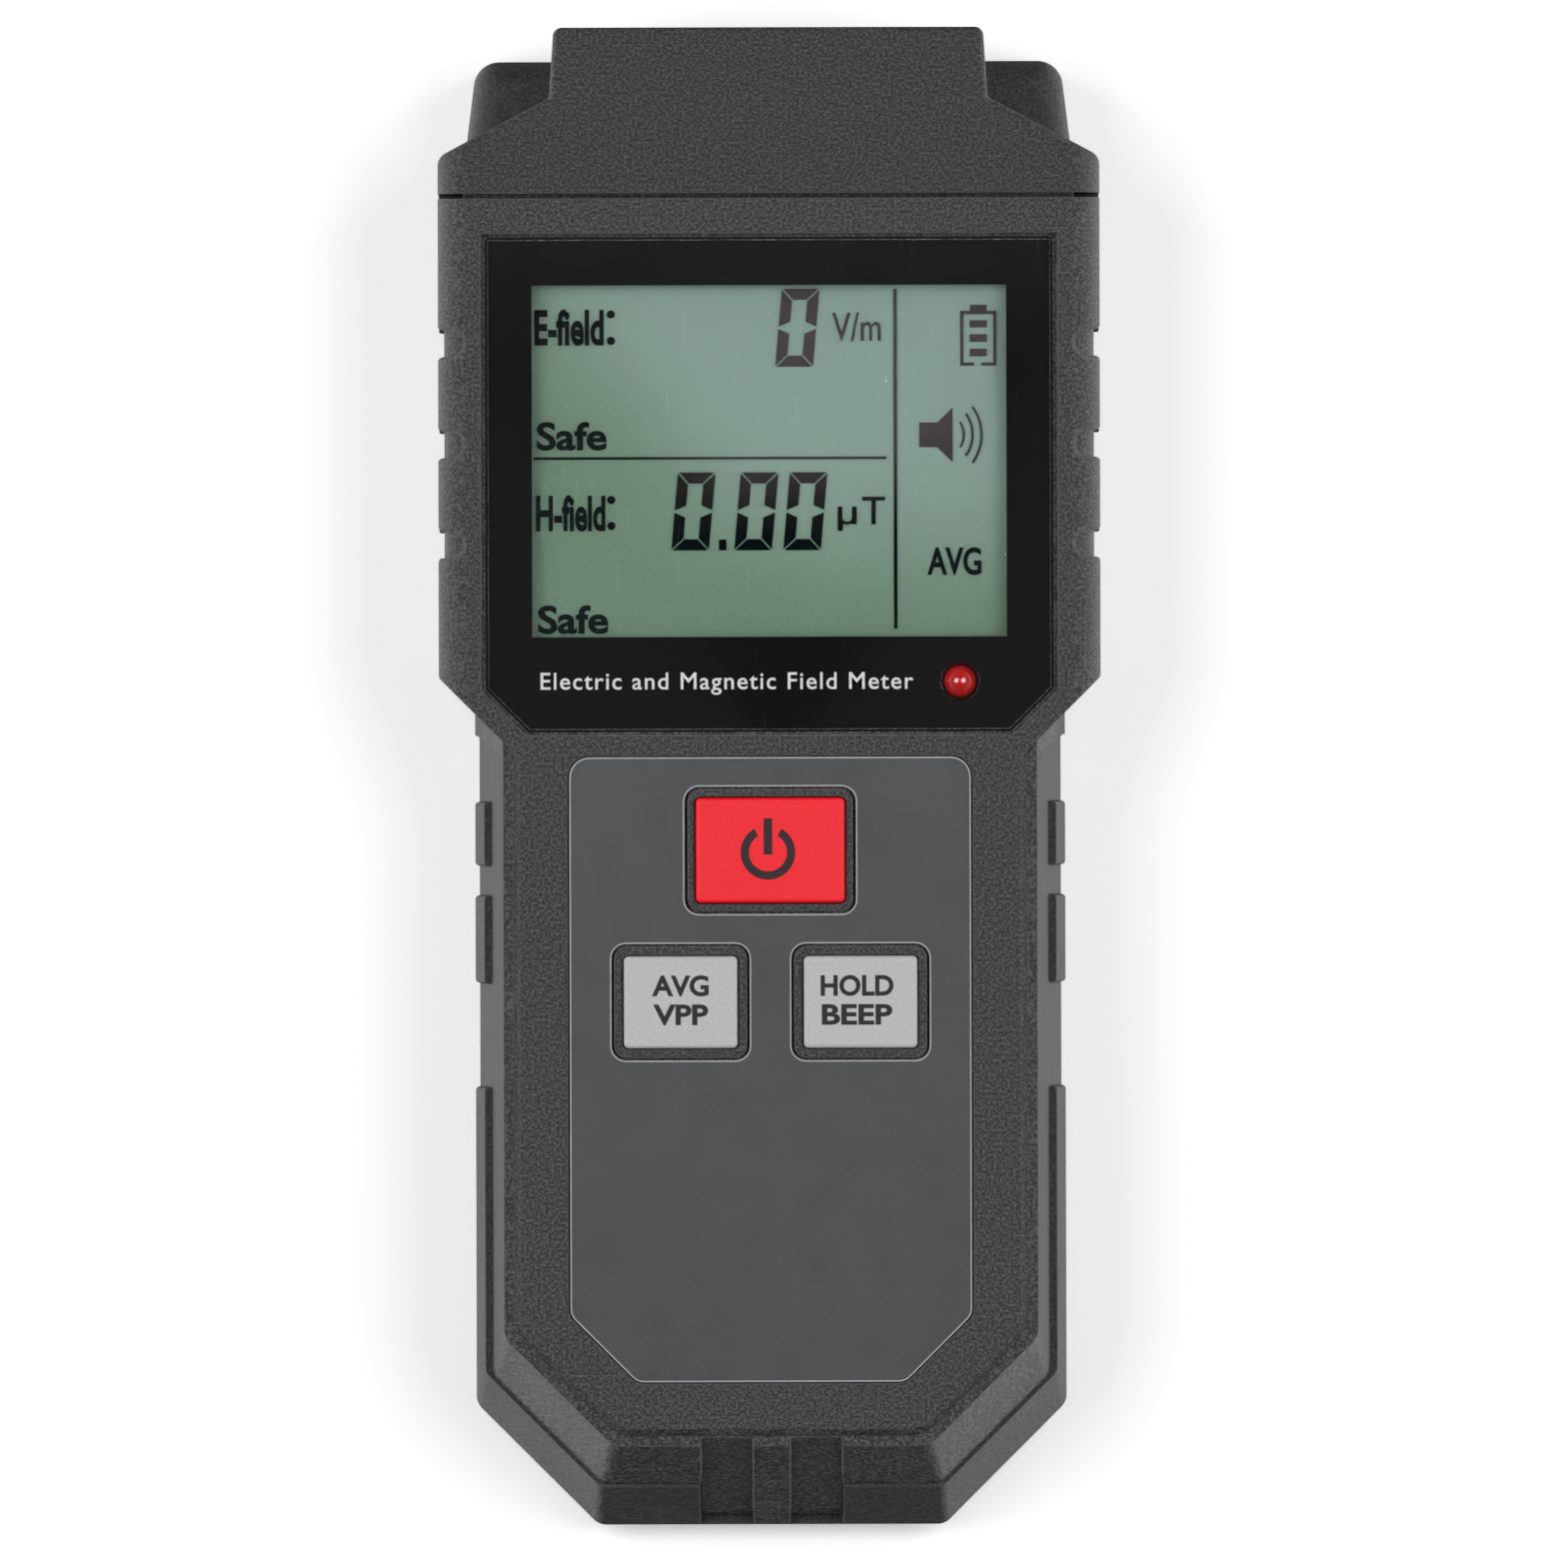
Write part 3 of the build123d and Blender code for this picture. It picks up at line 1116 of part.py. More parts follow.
with BuildPart() as battery_springs:
    for number, direction in enumerate((1, -1, 1), start=1):
        cell_x = (number - 2) * CELL_PITCH
        flat_end = lower_end + WIRE_RADIUS if direction > 0 else upper_end - WIRE_RADIUS
        spring_foot = (cell_x, flat_end, CELL_Z)
        spring_plane = Plane(origin=spring_foot, x_dir=(1.0, 0.0, 0.0), z_dir=(0.0, direction, 0.0))
        add(battery_spring.part.moved(spring_plane.location))
battery_springs.part.label = "battery_springs"
export_step(battery_springs.part, "parts/battery_springs.step")

# Each end has one plate across two cells and one single plate with a lug to the board.
contact_height = CONTACT_HIGH_Z - CONTACT_LOW_Z
contact_ends = [
    (upper_end, -CELL_PITCH, 0.5 * CELL_PITCH),
    (BAY_BOTTOM, CELL_PITCH, -0.5 * CELL_PITCH),
]
with BuildPart() as battery_contacts:
    for inner_y, single_x, pair_x in contact_ends:
        plate_y = inner_y + 0.5 * CONTACT_THICKNESS
        with BuildSketch(Plane.XY.offset(CONTACT_LOW_Z)):
            with Locations((single_x, plate_y)):
                Rectangle(2 * CONTACT_HALF, CONTACT_THICKNESS)
            with Locations((pair_x, plate_y)):
                Rectangle(2 * CONTACT_HALF + CELL_PITCH, CONTACT_THICKNESS)
        extrude(amount=contact_height)
        with BuildSketch(Plane.XY.offset(CONTACT_HIGH_Z)):
            with Locations((single_x, plate_y)):
                Rectangle(LUG_WIDTH, CONTACT_THICKNESS)
        extrude(amount=BOARD_BOTTOM_Z - CONTACT_HIGH_Z)
battery_contacts.part.label = "battery_contacts"
export_step(battery_contacts.part, "parts/battery_contacts.step")

# Screws ---------------------------------------------------------------------------------------------

SCREW_HEAD_HEIGHT = 1.7
CROSS_LENGTH, CROSS_WIDTH, CROSS_DEPTH = 2.6, 0.6, 1.0
with BuildPart() as housing_screws:
    with BuildSketch(Plane.XY.offset(SCREW_SEAT_Z)):
        with Locations(*screw_points):
            Circle(SCREW_RADIUS)
    extrude(amount=SCREW_TIP_Z - SCREW_SEAT_Z)
    with BuildSketch(Plane.XY.offset(SCREW_SEAT_Z)):
        with Locations(*screw_points):
            Circle(SCREW_HEAD_RADIUS)
    extrude(amount=-SCREW_HEAD_HEIGHT)
    with BuildSketch(Plane.XY.offset(SCREW_SEAT_Z - SCREW_HEAD_HEIGHT)):
        with Locations(*screw_points):
            Rectangle(CROSS_LENGTH, CROSS_WIDTH)
            Rectangle(CROSS_WIDTH, CROSS_LENGTH)
    extrude(amount=CROSS_DEPTH, mode=Mode.SUBTRACT)
housing_screws.part.label = "housing_screws"
export_step(housing_screws.part, "parts/housing_screws.step")

BOARD_HEAD_RADIUS = 1.9
BOARD_HEAD_HEIGHT = 1.3
BOARD_CROSS_LENGTH, BOARD_CROSS_WIDTH, BOARD_CROSS_DEPTH = 1.8, 0.4, 0.7
board_screw_points = mirrored(BOARD_SCREW_TOP) + mirrored(BOARD_SCREW_LOW)
with BuildPart() as board_screws:
    with BuildSketch(Plane.XY.offset(BOARD_BOTTOM_Z)):
        with Locations(*board_screw_points):
            Circle(BOARD_SCREW_RADIUS)
    extrude(amount=BOARD_SCREW_TIP_Z - BOARD_BOTTOM_Z)
    with BuildSketch(Plane.XY.offset(BOARD_BOTTOM_Z)):
        with Locations(*board_screw_points):
            Circle(BOARD_HEAD_RADIUS)
    extrude(amount=-BOARD_HEAD_HEIGHT)
    with BuildSketch(Plane.XY.offset(BOARD_BOTTOM_Z - BOARD_HEAD_HEIGHT)):
        with Locations(*board_screw_points):
            Rectangle(BOARD_CROSS_LENGTH, BOARD_CROSS_WIDTH)
            Rectangle(BOARD_CROSS_WIDTH, BOARD_CROSS_LENGTH)
    extrude(amount=BOARD_CROSS_DEPTH, mode=Mode.SUBTRACT)
board_screws.part.label = "board_screws"
export_step(board_screws.part, "parts/board_screws.step")
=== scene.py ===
import math

import bpy
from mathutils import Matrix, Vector


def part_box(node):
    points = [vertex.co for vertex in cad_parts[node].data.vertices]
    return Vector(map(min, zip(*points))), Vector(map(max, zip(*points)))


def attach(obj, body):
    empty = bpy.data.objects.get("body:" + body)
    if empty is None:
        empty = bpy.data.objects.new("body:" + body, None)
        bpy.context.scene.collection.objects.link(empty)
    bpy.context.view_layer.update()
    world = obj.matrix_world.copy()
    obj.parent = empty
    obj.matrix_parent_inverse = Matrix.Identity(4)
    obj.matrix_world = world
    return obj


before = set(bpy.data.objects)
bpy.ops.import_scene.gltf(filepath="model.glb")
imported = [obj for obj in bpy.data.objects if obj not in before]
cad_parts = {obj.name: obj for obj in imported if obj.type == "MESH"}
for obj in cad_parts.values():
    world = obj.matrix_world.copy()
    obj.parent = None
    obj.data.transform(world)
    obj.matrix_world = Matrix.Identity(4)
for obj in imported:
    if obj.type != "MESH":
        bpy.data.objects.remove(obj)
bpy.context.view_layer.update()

MM = 0.001
FACE_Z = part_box("front_housing")[1].z
KEY_TOP_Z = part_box("power_button")[1].z
GLASS_TOP_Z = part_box("lcd_glass")[1].z
LENS_BOTTOM_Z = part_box("display_lens")[0].z


# Materials ----------------------------------------------------------------------------

NOISE_SPREAD = (0.3, 0.7)  # where most values of a noise lie
EDGE_ROUND = 0.2 * MM  # radius over which sharp edges look rounded
EDGE_FACING = (0.8, 0.985)  # rounded against flat normal, from full painted edge highlight to none
STEEP = (0.25, 0.6)  # upward part of the normal, from a steep face to a level one
STEEP_GRAIN = 1.6  # how much coarser the grain is on steep faces
# Grain noise span from painted shade in the hollows to painted glints on the tops, and the share of the
# colour those make.
GLINT_SPAN = (0.42, 0.64)
GLINT_SHARE = 0.85
MOTTLE_SIZE = 0.011


class Nodes:
    """Short calls for the nodes of one tree. Lengths are in metres."""

    def __init__(self, tree):
        self.tree = tree

    def link(self, source, target):
        self.tree.links.new(source, target)

    def node(self, kind, **settings):
        made = self.tree.nodes.new(kind)
        for key, value in settings.items():
            setattr(made, key, value)
        return made

    def value(self, socket, value):
        """Sets a socket to a number or an RGB colour, or links it to another node's output."""
        if isinstance(value, bpy.types.NodeSocket):
            self.link(value, socket)
        elif isinstance(value, tuple):
            socket.default_value = (*value, 1.0)
        else:
            socket.default_value = value

    def math(self, operation, *values):
        made = self.node("ShaderNodeMath", operation=operation)
        for socket, value in zip(made.inputs, values):
            self.value(socket, value)
        return made.outputs[0]

    def times(self, first, second):
        return self.math("MULTIPLY", first, second)

    def span(self, source, low, high, to_low=0.0, to_high=1.0):
        """source from low..high onto to_low..to_high, held at the ends."""
        made = self.node("ShaderNodeMapRange", interpolation_type="SMOOTHSTEP")
        self.link(source, made.inputs["Value"])
        ends = {"From Min": low, "From Max": high, "To Min": to_low, "To Max": to_high}
        for name, value in ends.items():
            made.inputs[name].default_value = value
        return made.outputs["Result"]

    def parts(self, vector):
        """The outputs X, Y and Z of a vector."""
        made = self.node("ShaderNodeSeparateXYZ")
        self.link(vector, made.inputs[0])
        return made.outputs


class Graph(Nodes):
    """A node material, on the piece's own coordinates."""

    def __init__(self, name):
        self.material = bpy.data.materials.new(name)
        self.material.use_nodes = True
        super().__init__(self.material.node_tree)
        self.tree.nodes.clear()
        self.output = self.node("ShaderNodeOutputMaterial")
        self.shader = self.node("ShaderNodeBsdfPrincipled")
        self.link(self.shader.outputs[0], self.output.inputs[0])
        self.place = self.node("ShaderNodeTexCoord").outputs["Object"]

    def stretched(self, scale):
        mapping = self.node("ShaderNodeMapping")
        self.link(self.place, mapping.inputs["Vector"])
        mapping.inputs["Scale"].default_value = scale
        return mapping.outputs[0]

    def noise(self, size, detail=2.0, roughness=0.5, place=None):
        made = self.node("ShaderNodeTexNoise")
        self.link(place or self.place, made.inputs["Vector"])
        made.inputs["Scale"].default_value = 1.0 / size
        made.inputs["Detail"].default_value = detail
        made.inputs["Roughness"].default_value = roughness
        return made.outputs[0]

    def cells(self, size, feature="F1", place=None):
        made = self.node("ShaderNodeTexVoronoi", feature=feature)
        self.link(place or self.place, made.inputs["Vector"])
        made.inputs["Scale"].default_value = 1.0 / size
        return made.outputs["Distance"]

    def vary(self, noise, low=0.0, high=1.0):
        """A noise that varies from low to high."""
        return self.span(noise, *NOISE_SPREAD, low, high)

    def mix(self, share, first, second):
        made = self.node("ShaderNodeMix", data_type="RGBA")
        self.value(made.inputs["Factor"], share)
        self.value(made.inputs[6], first)
        self.value(made.inputs[7], second)
        return made.outputs[2]

    def axis(self, name):
        return self.parts(self.place)[name]

    def flat_normal(self):
        return self.node("ShaderNodeNewGeometry").outputs["Normal"]

    def soft_edges(self):
        """Normals that turn smoothly over the sharp edges, and the share of painted edge highlight there.
        """
        made = self.node("ShaderNodeBevel", samples=6)
        made.inputs["Radius"].default_value = EDGE_ROUND
        facing = self.node("ShaderNodeVectorMath", operation="DOT_PRODUCT")
        self.link(made.outputs[0], facing.inputs[0])
        self.link(self.flat_normal(), facing.inputs[1])
        return made.outputs[0], self.span(facing.outputs["Value"], *EDGE_FACING, 1.0, 0.0)

    def bump(self, height, depth, strength=1.0, after=None):
        made = self.node("ShaderNodeBump")
        self.link(height, made.inputs["Height"])
        made.inputs["Distance"].default_value = depth
        made.inputs["Strength"].default_value = strength
        if after is not None:
            self.link(after, made.inputs["Normal"])
        return made.outputs[0]

    def finish(self, colour, roughness, normal=None, **sockets):
        self.value(self.shader.inputs["Base Color"], colour)
        self.value(self.shader.inputs["Roughness"], roughness)
        if normal is not None:
            self.link(normal, self.shader.inputs["Normal"])
        for name, value in sockets.items():
            self.value(self.shader.inputs[name.replace("_", " ")], value)
        return self.material


def shade(colour, factor):
    """A colour times a factor."""
    return tuple(min(c * factor, 1.0) for c in colour)


def moulded(name, colour, roughness, grain, depth, mottle, grain_glint, edge_highlight=0.3, **sockets):
    """Moulded plastic with an eroded grain, coarser on steep faces, painted glints and shade on the grain,
    slight mottling and edges painted paler as highlights.
    """
    g = Graph(name)
    upward = g.math("ABSOLUTE", g.parts(g.flat_normal())["Z"])
    steep = g.span(upward, *STEEP, 1.0, 0.0)
    fine = g.mix(steep, g.noise(grain, 3.0, 0.7), g.noise(STEEP_GRAIN * grain, 3.0, 0.6))
    broad = g.noise(MOTTLE_SIZE, 4.0)
    base = g.mix(g.vary(broad), shade(colour, 1 - mottle), shade(colour, 1 + mottle))
    # Painted glints on the grain's tops and painted shade in its hollows: lighter and darker copies of the
    # colour.
    painted_glints = g.mix(g.span(fine, *GLINT_SPAN), shade(colour, 1 - grain_glint), shade(colour, 1 + 2 * grain_glint))
    mottle_and_glints = g.mix(GLINT_SHARE, base, painted_glints)
    normal, edge = g.soft_edges()
    # Sharp edges painted paler, as highlights.
    highlight_colour = tuple(0.12 + 0.88 * c for c in colour)
    colour_out = g.mix(g.times(edge, edge_highlight), mottle_and_glints, highlight_colour)
    rough = g.vary(broad, roughness - 0.04, roughness + 0.04)
    return g.finish(colour_out, rough, g.bump(fine, depth, 1.0, normal), **sockets)


def metal(name, colour, roughness, brushed=(1.0, 1.0, 1.0)):
    """Metal with fine streaks, narrowed by the factors in brushed, and stains of tarnish."""
    g = Graph(name)
    streaks = g.noise(0.0008, 3.0, 0.6, g.stretched(brushed))
    stain = g.span(g.noise(0.004, 3.0), 0.4, 0.75)
    colour_out = g.mix(stain, colour, shade(colour, 0.75))
    rough = g.vary(streaks, roughness - 0.06, roughness + 0.08)
    return g.finish(colour_out, rough, g.bump(streaks, 0.00001, 0.4), Metallic=1.0)


def black_print():
    """Black print behind the window, with a painted reflection that pales it towards the top."""
    g = Graph("black_print")
    grain = g.noise(0.0004, 3.0)
    # Painted reflection: the print turns paler towards the top of the window.
    painted_reflection = g.times(g.span(g.axis("Y"), 0.036, 0.049), g.vary(g.noise(0.02, 2.0), 0.5, 1.0))
    black = g.mix(grain, (0.0025, 0.0025, 0.003), (0.0045, 0.0045, 0.005))
    colour = g.mix(painted_reflection, black, (0.015, 0.015, 0.016))
    return g.finish(colour, 0.5, Specular_IOR_Level=0.05)


def overlay_film():
    """Satin printed film with faint smears, a few specks of dust and a fine grain."""
    g = Graph("overlay_film")
    smear = g.span(g.noise(0.006, 5.0, 0.7, g.stretched((1.0, 2.5, 1.0))), 0.5, 0.8)
    patch = g.span(g.noise(0.02, 2.0), 0.35, 0.7)
    dots = g.span(g.noise(0.00018, 1.0), 0.3, 0.75)
    base = g.mix(patch, (0.032, 0.0345, 0.038), (0.035, 0.0375, 0.041))
    smeared = g.mix(g.times(smear, 0.35), base, (0.026, 0.028, 0.036))
    dust = g.span(g.cells(0.006), 0.0, 0.018, 0.5, 0.0)
    colour = g.mix(dust, smeared, (0.3, 0.3, 0.3))
    rough = g.vary(g.noise(0.004, 4.0), 0.36, 0.46)
    return g.finish(colour, rough, g.bump(dots, 0.000006, 0.6))


def film_edge_highlight():
    """The clear film where the overlay is cut through, pale as a painted highlight along the cut."""
    g = Graph("film_edge_highlight")
    colour = g.mix(g.noise(0.0015, 2.0), (0.26, 0.26, 0.27), (0.4, 0.4, 0.41))
    return g.finish(colour, 0.3)


def liquid_crystal():
    """Reflective display: green that turns paler towards the top right, over a fine grain."""
    g = Graph("liquid_crystal")
    slope = g.math("ADD", g.times(g.axis("X"), 0.8), g.times(g.axis("Y"), 0.55))
    wave = g.math("ADD", slope, g.times(g.noise(0.03, 2.0), 0.02))
    band = g.span(wave, 0.008, 0.03)
    raised = g.span(g.axis("Y"), 0.012, 0.03)
    soft = g.mix(g.times(band, raised), (0.07, 0.118, 0.08), (0.125, 0.178, 0.152))
    grain = g.span(g.noise(0.00016, 2.0, 0.7), 0.35, 0.7)
    colour = g.mix(g.times(grain, 0.15), soft, (0.2, 0.27, 0.23))
    return g.finish(colour, 0.6, g.bump(grain, 0.00001, 0.5), Specular_IOR_Level=0.1)


def segment_ink():
    """Display segments, which turn paler and browner towards the top right of the display."""
    g = Graph("segment_ink")
    rightward = g.span(g.axis("X"), -0.015, -0.002, 0.1, 1.0)
    faded = g.times(g.span(g.axis("Y"), 0.021, 0.033), rightward)
    grain = g.noise(0.00025, 2.0)
    dark = g.mix(grain, (0.0004, 0.002, 0.0025), (0.001, 0.003, 0.0035))
    brown = g.mix(grain, (0.03, 0.025, 0.025), (0.045, 0.037, 0.037))
    return g.finish(g.mix(faded, dark, brown), 0.6, Specular_IOR_Level=0.0)


def ink(name, colour):
    """Printed ink with a slightly uneven tone."""
    g = Graph(name)
    colour_out = g.mix(g.noise(0.0004, 3.0), shade(colour, 0.85), shade(colour, 1.1))
    return g.finish(colour_out, g.vary(g.noise(0.001), 0.4, 0.5), Specular_IOR_Level=0.2)


def clear_acrylic():
    """Clear window with a trace of dust and wear in its gloss. Light passes it unshadowed."""
    g = Graph("clear_acrylic")
    haze = g.span(g.noise(0.012, 5.0, 0.6), 0.4, 0.7, 0.01, 0.04)
    specks = g.span(g.cells(0.0045), 0.0, 0.02, 0.5, 0.0)
    strokes = g.noise(0.0025, 2.0, 0.5, g.stretched((6.0, 0.35, 1.0)))
    scratch = g.span(strokes, 0.70, 0.74, 0.0, 0.12)
    rough = g.math("ADD", haze, g.math("ADD", specks, scratch))
    g.finish((1.0, 1.0, 1.0), rough, Transmission_Weight=1.0, IOR=1.49)
    clear = g.node("ShaderNodeBsdfTransparent")
    g.value(clear.inputs[0], (0.94, 0.95, 0.945))
    blend = g.node("ShaderNodeMixShader")
    g.link(g.node("ShaderNodeLightPath").outputs["Is Shadow Ray"], blend.inputs[0])
    g.link(g.shader.outputs[0], blend.inputs[1])
    g.link(clear.outputs[0], blend.inputs[2])
    g.link(blend.outputs[0], g.output.inputs[0])
    return g.material


def lamp_epoxy():
    """Glossy red epoxy with swirls of a deeper red."""
    g = Graph("lamp_epoxy")
    swirl = g.noise(0.0009, 3.0)
    colour = g.mix(swirl, (0.42, 0.008, 0.01), (0.62, 0.02, 0.02))
    return g.finish(colour, g.vary(swirl, 0.05, 0.14), Coat_Weight=1.0, Subsurface_Weight=0.3)


def solder_mask():
    """Green board with tracks showing under the mask and a few bare pads."""
    g = Graph("solder_mask")
    plots = g.cells(0.0016, "DISTANCE_TO_EDGE", g.stretched((1.0, 0.45, 1.0)))
    tracks = g.span(plots, 0.03, 0.07)
    green = g.mix(tracks, (0.03, 0.22, 0.08), (0.012, 0.12, 0.04))
    pads = g.span(g.cells(0.0032), 0.05, 0.07)
    colour = g.mix(pads, (0.55, 0.5, 0.4), green)
    return g.finish(colour, g.vary(g.noise(0.002), 0.25, 0.4), g.bump(tracks, 0.00003, 0.5))


def cell_wrap():
    """Plain battery wrap: dark sleeve with a bright band towards one end."""
    g = Graph("cell_wrap")
    band = g.span(g.axis("Y"), -0.0425, -0.042)
    sleeve = g.mix(band, (0.55, 0.56, 0.58), (0.03, 0.032, 0.04))
    colour = g.mix(g.times(g.noise(0.003, 4.0), 0.3), sleeve, (0.25, 0.25, 0.26))
    return g.finish(colour, g.vary(g.noise(0.001), 0.22, 0.34), Metallic=0.4)


def matt_label():
    """Blank rating label: matt silver film."""
    g = Graph("matt_label")
    fibre = g.noise(0.0005, 4.0, 0.7)
    colour = g.mix(fibre, (0.5, 0.5, 0.51), (0.62, 0.62, 0.63))
    return g.finish(colour, g.vary(fibre, 0.4, 0.55), g.bump(fibre, 0.000008, 0.4))


# Each call gives colour, roughness, grain size and depth, mottle, painted grain glint and, for some,
# painted edge highlight.
GRAINED = {"Specular_IOR_Level": 0.4}
housing = moulded(
    "housing_plastic", (0.0365, 0.0365, 0.037), 0.42, 0.00025, 0.00017, 0.08, 0.85, 0.9, **GRAINED
)
cap = moulded("cap_plastic", (0.0285, 0.0285, 0.029), 0.42, 0.00025, 0.00017, 0.08, 0.85, 0.9, **GRAINED)
rear = moulded("rear_plastic", (0.028, 0.028, 0.0285), 0.46, 0.00028, 0.00014, 0.08, 0.5, 0.9, **GRAINED)
cover = moulded("cover_plastic", (0.03, 0.03, 0.0305), 0.5, 0.0003, 0.00012, 0.08, 0.7, 0.8, **GRAINED)
grip = moulded("grip_soft_touch", (0.024, 0.024, 0.025), 0.5, 0.00015, 0.00001, 0.08, 0.1)
tape = moulded("black_foam", (0.012, 0.012, 0.012), 0.9, 0.0003, 0.00005, 0.2, 0.1)
red_key = moulded(
    "red_key_plastic", (0.82, 0.006, 0.016), 0.42, 0.0003, 0.00001, 0.03, 0.03, 0.4, Specular_IOR_Level=0.3
)
grey_key = moulded("grey_key_plastic", (0.43, 0.428, 0.432), 0.45, 0.0003, 0.00001, 0.03, 0.04, 0.4)
nylon = moulded("natural_nylon", (0.68, 0.65, 0.56), 0.5, 0.0004, 0.00002, 0.06, 0.0)
black_nylon = moulded("black_nylon", (0.03, 0.03, 0.03), 0.5, 0.0004, 0.00003, 0.1, 0.05)
white_frame = moulded("white_frame", (0.78, 0.78, 0.75), 0.45, 0.0004, 0.00002, 0.04, 0.0)
light_guide = moulded("light_guide", (0.82, 0.85, 0.82), 0.25, 0.0006, 0.00001, 0.04, 0.0)
silicone = moulded("silicone", (0.7, 0.52, 0.42), 0.6, 0.0003, 0.00002, 0.08, 0.0)
epoxy = moulded("moulded_epoxy", (0.022, 0.022, 0.024), 0.55, 0.0002, 0.00002, 0.15, 0.06)
ferrite = moulded("sintered_ferrite", (0.06, 0.06, 0.062), 0.6, 0.0002, 0.00004, 0.2, 0.1)
steel = metal("nickel_plate", (0.62, 0.61, 0.59), 0.25, (1.0, 1.0, 8.0))
black_steel = metal("blackened_steel", (0.05, 0.05, 0.055), 0.4)
copper = metal("copper", (0.8, 0.4, 0.24), 0.3, (12.0, 1.0, 1.0))

finishes = {
    housing: ["front_housing"],
    cap: ["sensor_cap"],
    rear: ["rear_housing"],
    cover: ["battery_cover"],
    grip: ["grip_left", "grip_right"],
    clear_acrylic(): ["display_lens"],
    black_print(): ["lens_mask"],
    tape: ["lens_tape"],
    liquid_crystal(): ["lcd_glass"],
    light_guide: ["lcd_backlight"],
    white_frame: ["lcd_holder"],
    silicone: ["elastomer_connector"],
    overlay_film(): ["keypad_panel"],
    red_key: ["power_button"],
    grey_key: ["mode_button", "hold_button"],
    lamp_epoxy(): ["alarm_led"],
    solder_mask(): ["main_board"],
    epoxy: ["microcontroller", "analog_chips", "chip_parts", "buzzer"],
    black_nylon: ["power_switch", "mode_switch", "hold_switch"],
    nylon: ["power_plunger", "mode_plunger", "hold_plunger"],
    steel: ["crystal", "battery_springs", "battery_contacts", "board_screws"],
    black_steel: ["housing_screws"],
    copper: ["field_coil_winding", "e_field_plate"],
    ferrite: ["field_coil_core"],
    cell_wrap(): ["battery_cell_1", "battery_cell_2", "battery_cell_3"],
    matt_label(): ["rear_label"],
}
for material, names in finishes.items():
    for name in names:
        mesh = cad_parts[name].data
        mesh.materials.clear()
        mesh.materials.append(material)


# Making printed and displayed marks -----------------------------------------------------

CAPITAL_SHARE = 0.682  # height of a capital over the size of the type


def add_piece(name, verts, faces, material, body):
    """A mesh that rides on a body of the frame."""
    mesh = bpy.data.meshes.new(name)
    mesh.from_pydata(verts, [], faces)
    mesh.materials.append(material)
    piece = bpy.data.objects.new(name, mesh)
    bpy.context.scene.collection.objects.link(piece)
    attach(piece, body)
    return piece


def solid_mark(name, outlines, low, high, material, body, slot):
    """One mesh from flat outlines in millimetres, each extruded from low to high."""
    verts, faces = [], []
    for outline_mm in outlines:
        outline = [(x * MM, y * MM) for x, y in outline_mm]
        start, count = len(verts), len(outline)
        verts += [(x, y, low) for x, y in outline] + [(x, y, high) for x, y in outline]
        sides = [(outline[i - 1], outline[i]) for i in range(count)]
        area = sum(a[0] * b[1] - b[0] * a[1] for a, b in sides)
        order = range(count) if area > 0 else range(count - 1, -1, -1)
        ring = [start + i for i in order]
        faces.append([i + count for i in ring])
        faces.append(ring[::-1])
        for i in range(count):
            a, b = ring[i - 1], ring[i]
            faces.append((a, b, b + count, a + count))
    add_piece(name, verts, faces, material, body)


def line_of(text, left, right, base, cap_height, weight, spacing=1.0):
    """A line of text between left and right, as points and polygons. Lengths are in millimetres."""
    curve = bpy.data.curves.new("lettering", "FONT")
    curve.body = text
    curve.size = cap_height * MM / CAPITAL_SHARE
    curve.offset = weight * MM
    curve.space_character = spacing
    curve.resolution_u = 4
    holder = bpy.data.objects.new("lettering", curve)
    bpy.context.scene.collection.objects.link(holder)
    bpy.context.view_layer.update()
    mesh = bpy.data.meshes.new_from_object(holder)
    xs = [v.co.x for v in mesh.vertices]
    low, high = min(xs), max(xs)
    stretch = (right * MM - left * MM) / (high - low)
    points = [(left * MM + (v.co.x - low) * stretch, base * MM + v.co.y) for v in mesh.vertices]
    polygons = [tuple(p.vertices) for p in mesh.polygons]
    bpy.data.objects.remove(holder)
    bpy.data.curves.remove(curve)
    bpy.data.meshes.remove(mesh)
    return points, polygons


def letter_mark(name, lines, low, high, material, body, slot):
    """One mesh from lines of text, given thickness downwards from high to low."""
    verts, faces = [], []
    for points, polygons in lines:
        start = len(verts)
        verts += [(x, y, high) for x, y in points]
        faces += [[start + i for i in polygon] for polygon in polygons]
    solid = add_piece(name, verts, faces, material, body).modifiers.new("thickness", "SOLIDIFY")
    solid.thickness = high - low
    solid.offset = -1.0


def line_mark(name, loops, low, high, material, body, slot):
    """One mesh of closed lines, each a band between two loops of equal length, in millimetres."""
    verts, faces = [], []
    for outer, inner in loops:
        start, count = len(verts), len(outer)
        for height in (low, high):
            for loop in (outer, inner):
                verts += [(x * MM, y * MM, height) for x, y in loop]
        low_in, high_out, high_in = count, 2 * count, 3 * count
        for i in range(count):
            a, b = start + i, start + (i + 1) % count
            faces.append((a + high_out, b + high_out, b + high_in, a + high_in))
            faces.append((a, a + low_in, b + low_in, b))
            faces.append((a, b, b + high_out, a + high_out))
            faces.append((a + low_in, a + high_in, b + high_in, b + low_in))
    add_piece(name, verts, faces, material, body)


def layer(surface, low, high):
    """The heights of a layer that lies low to high millimetres above a surface."""
    return surface + low * MM, surface + high * MM


# Outlines, in millimetres ---------------------------------------------------------------


def box_outline(left, right, low, high):
    return [(left, low), (right, low), (right, high), (left, high)]


def circle(x, y, radius, turns):
    """The points of a circle at these angles, in radians."""
    return [(x + radius * math.cos(t), y + radius * math.sin(t)) for t in turns]


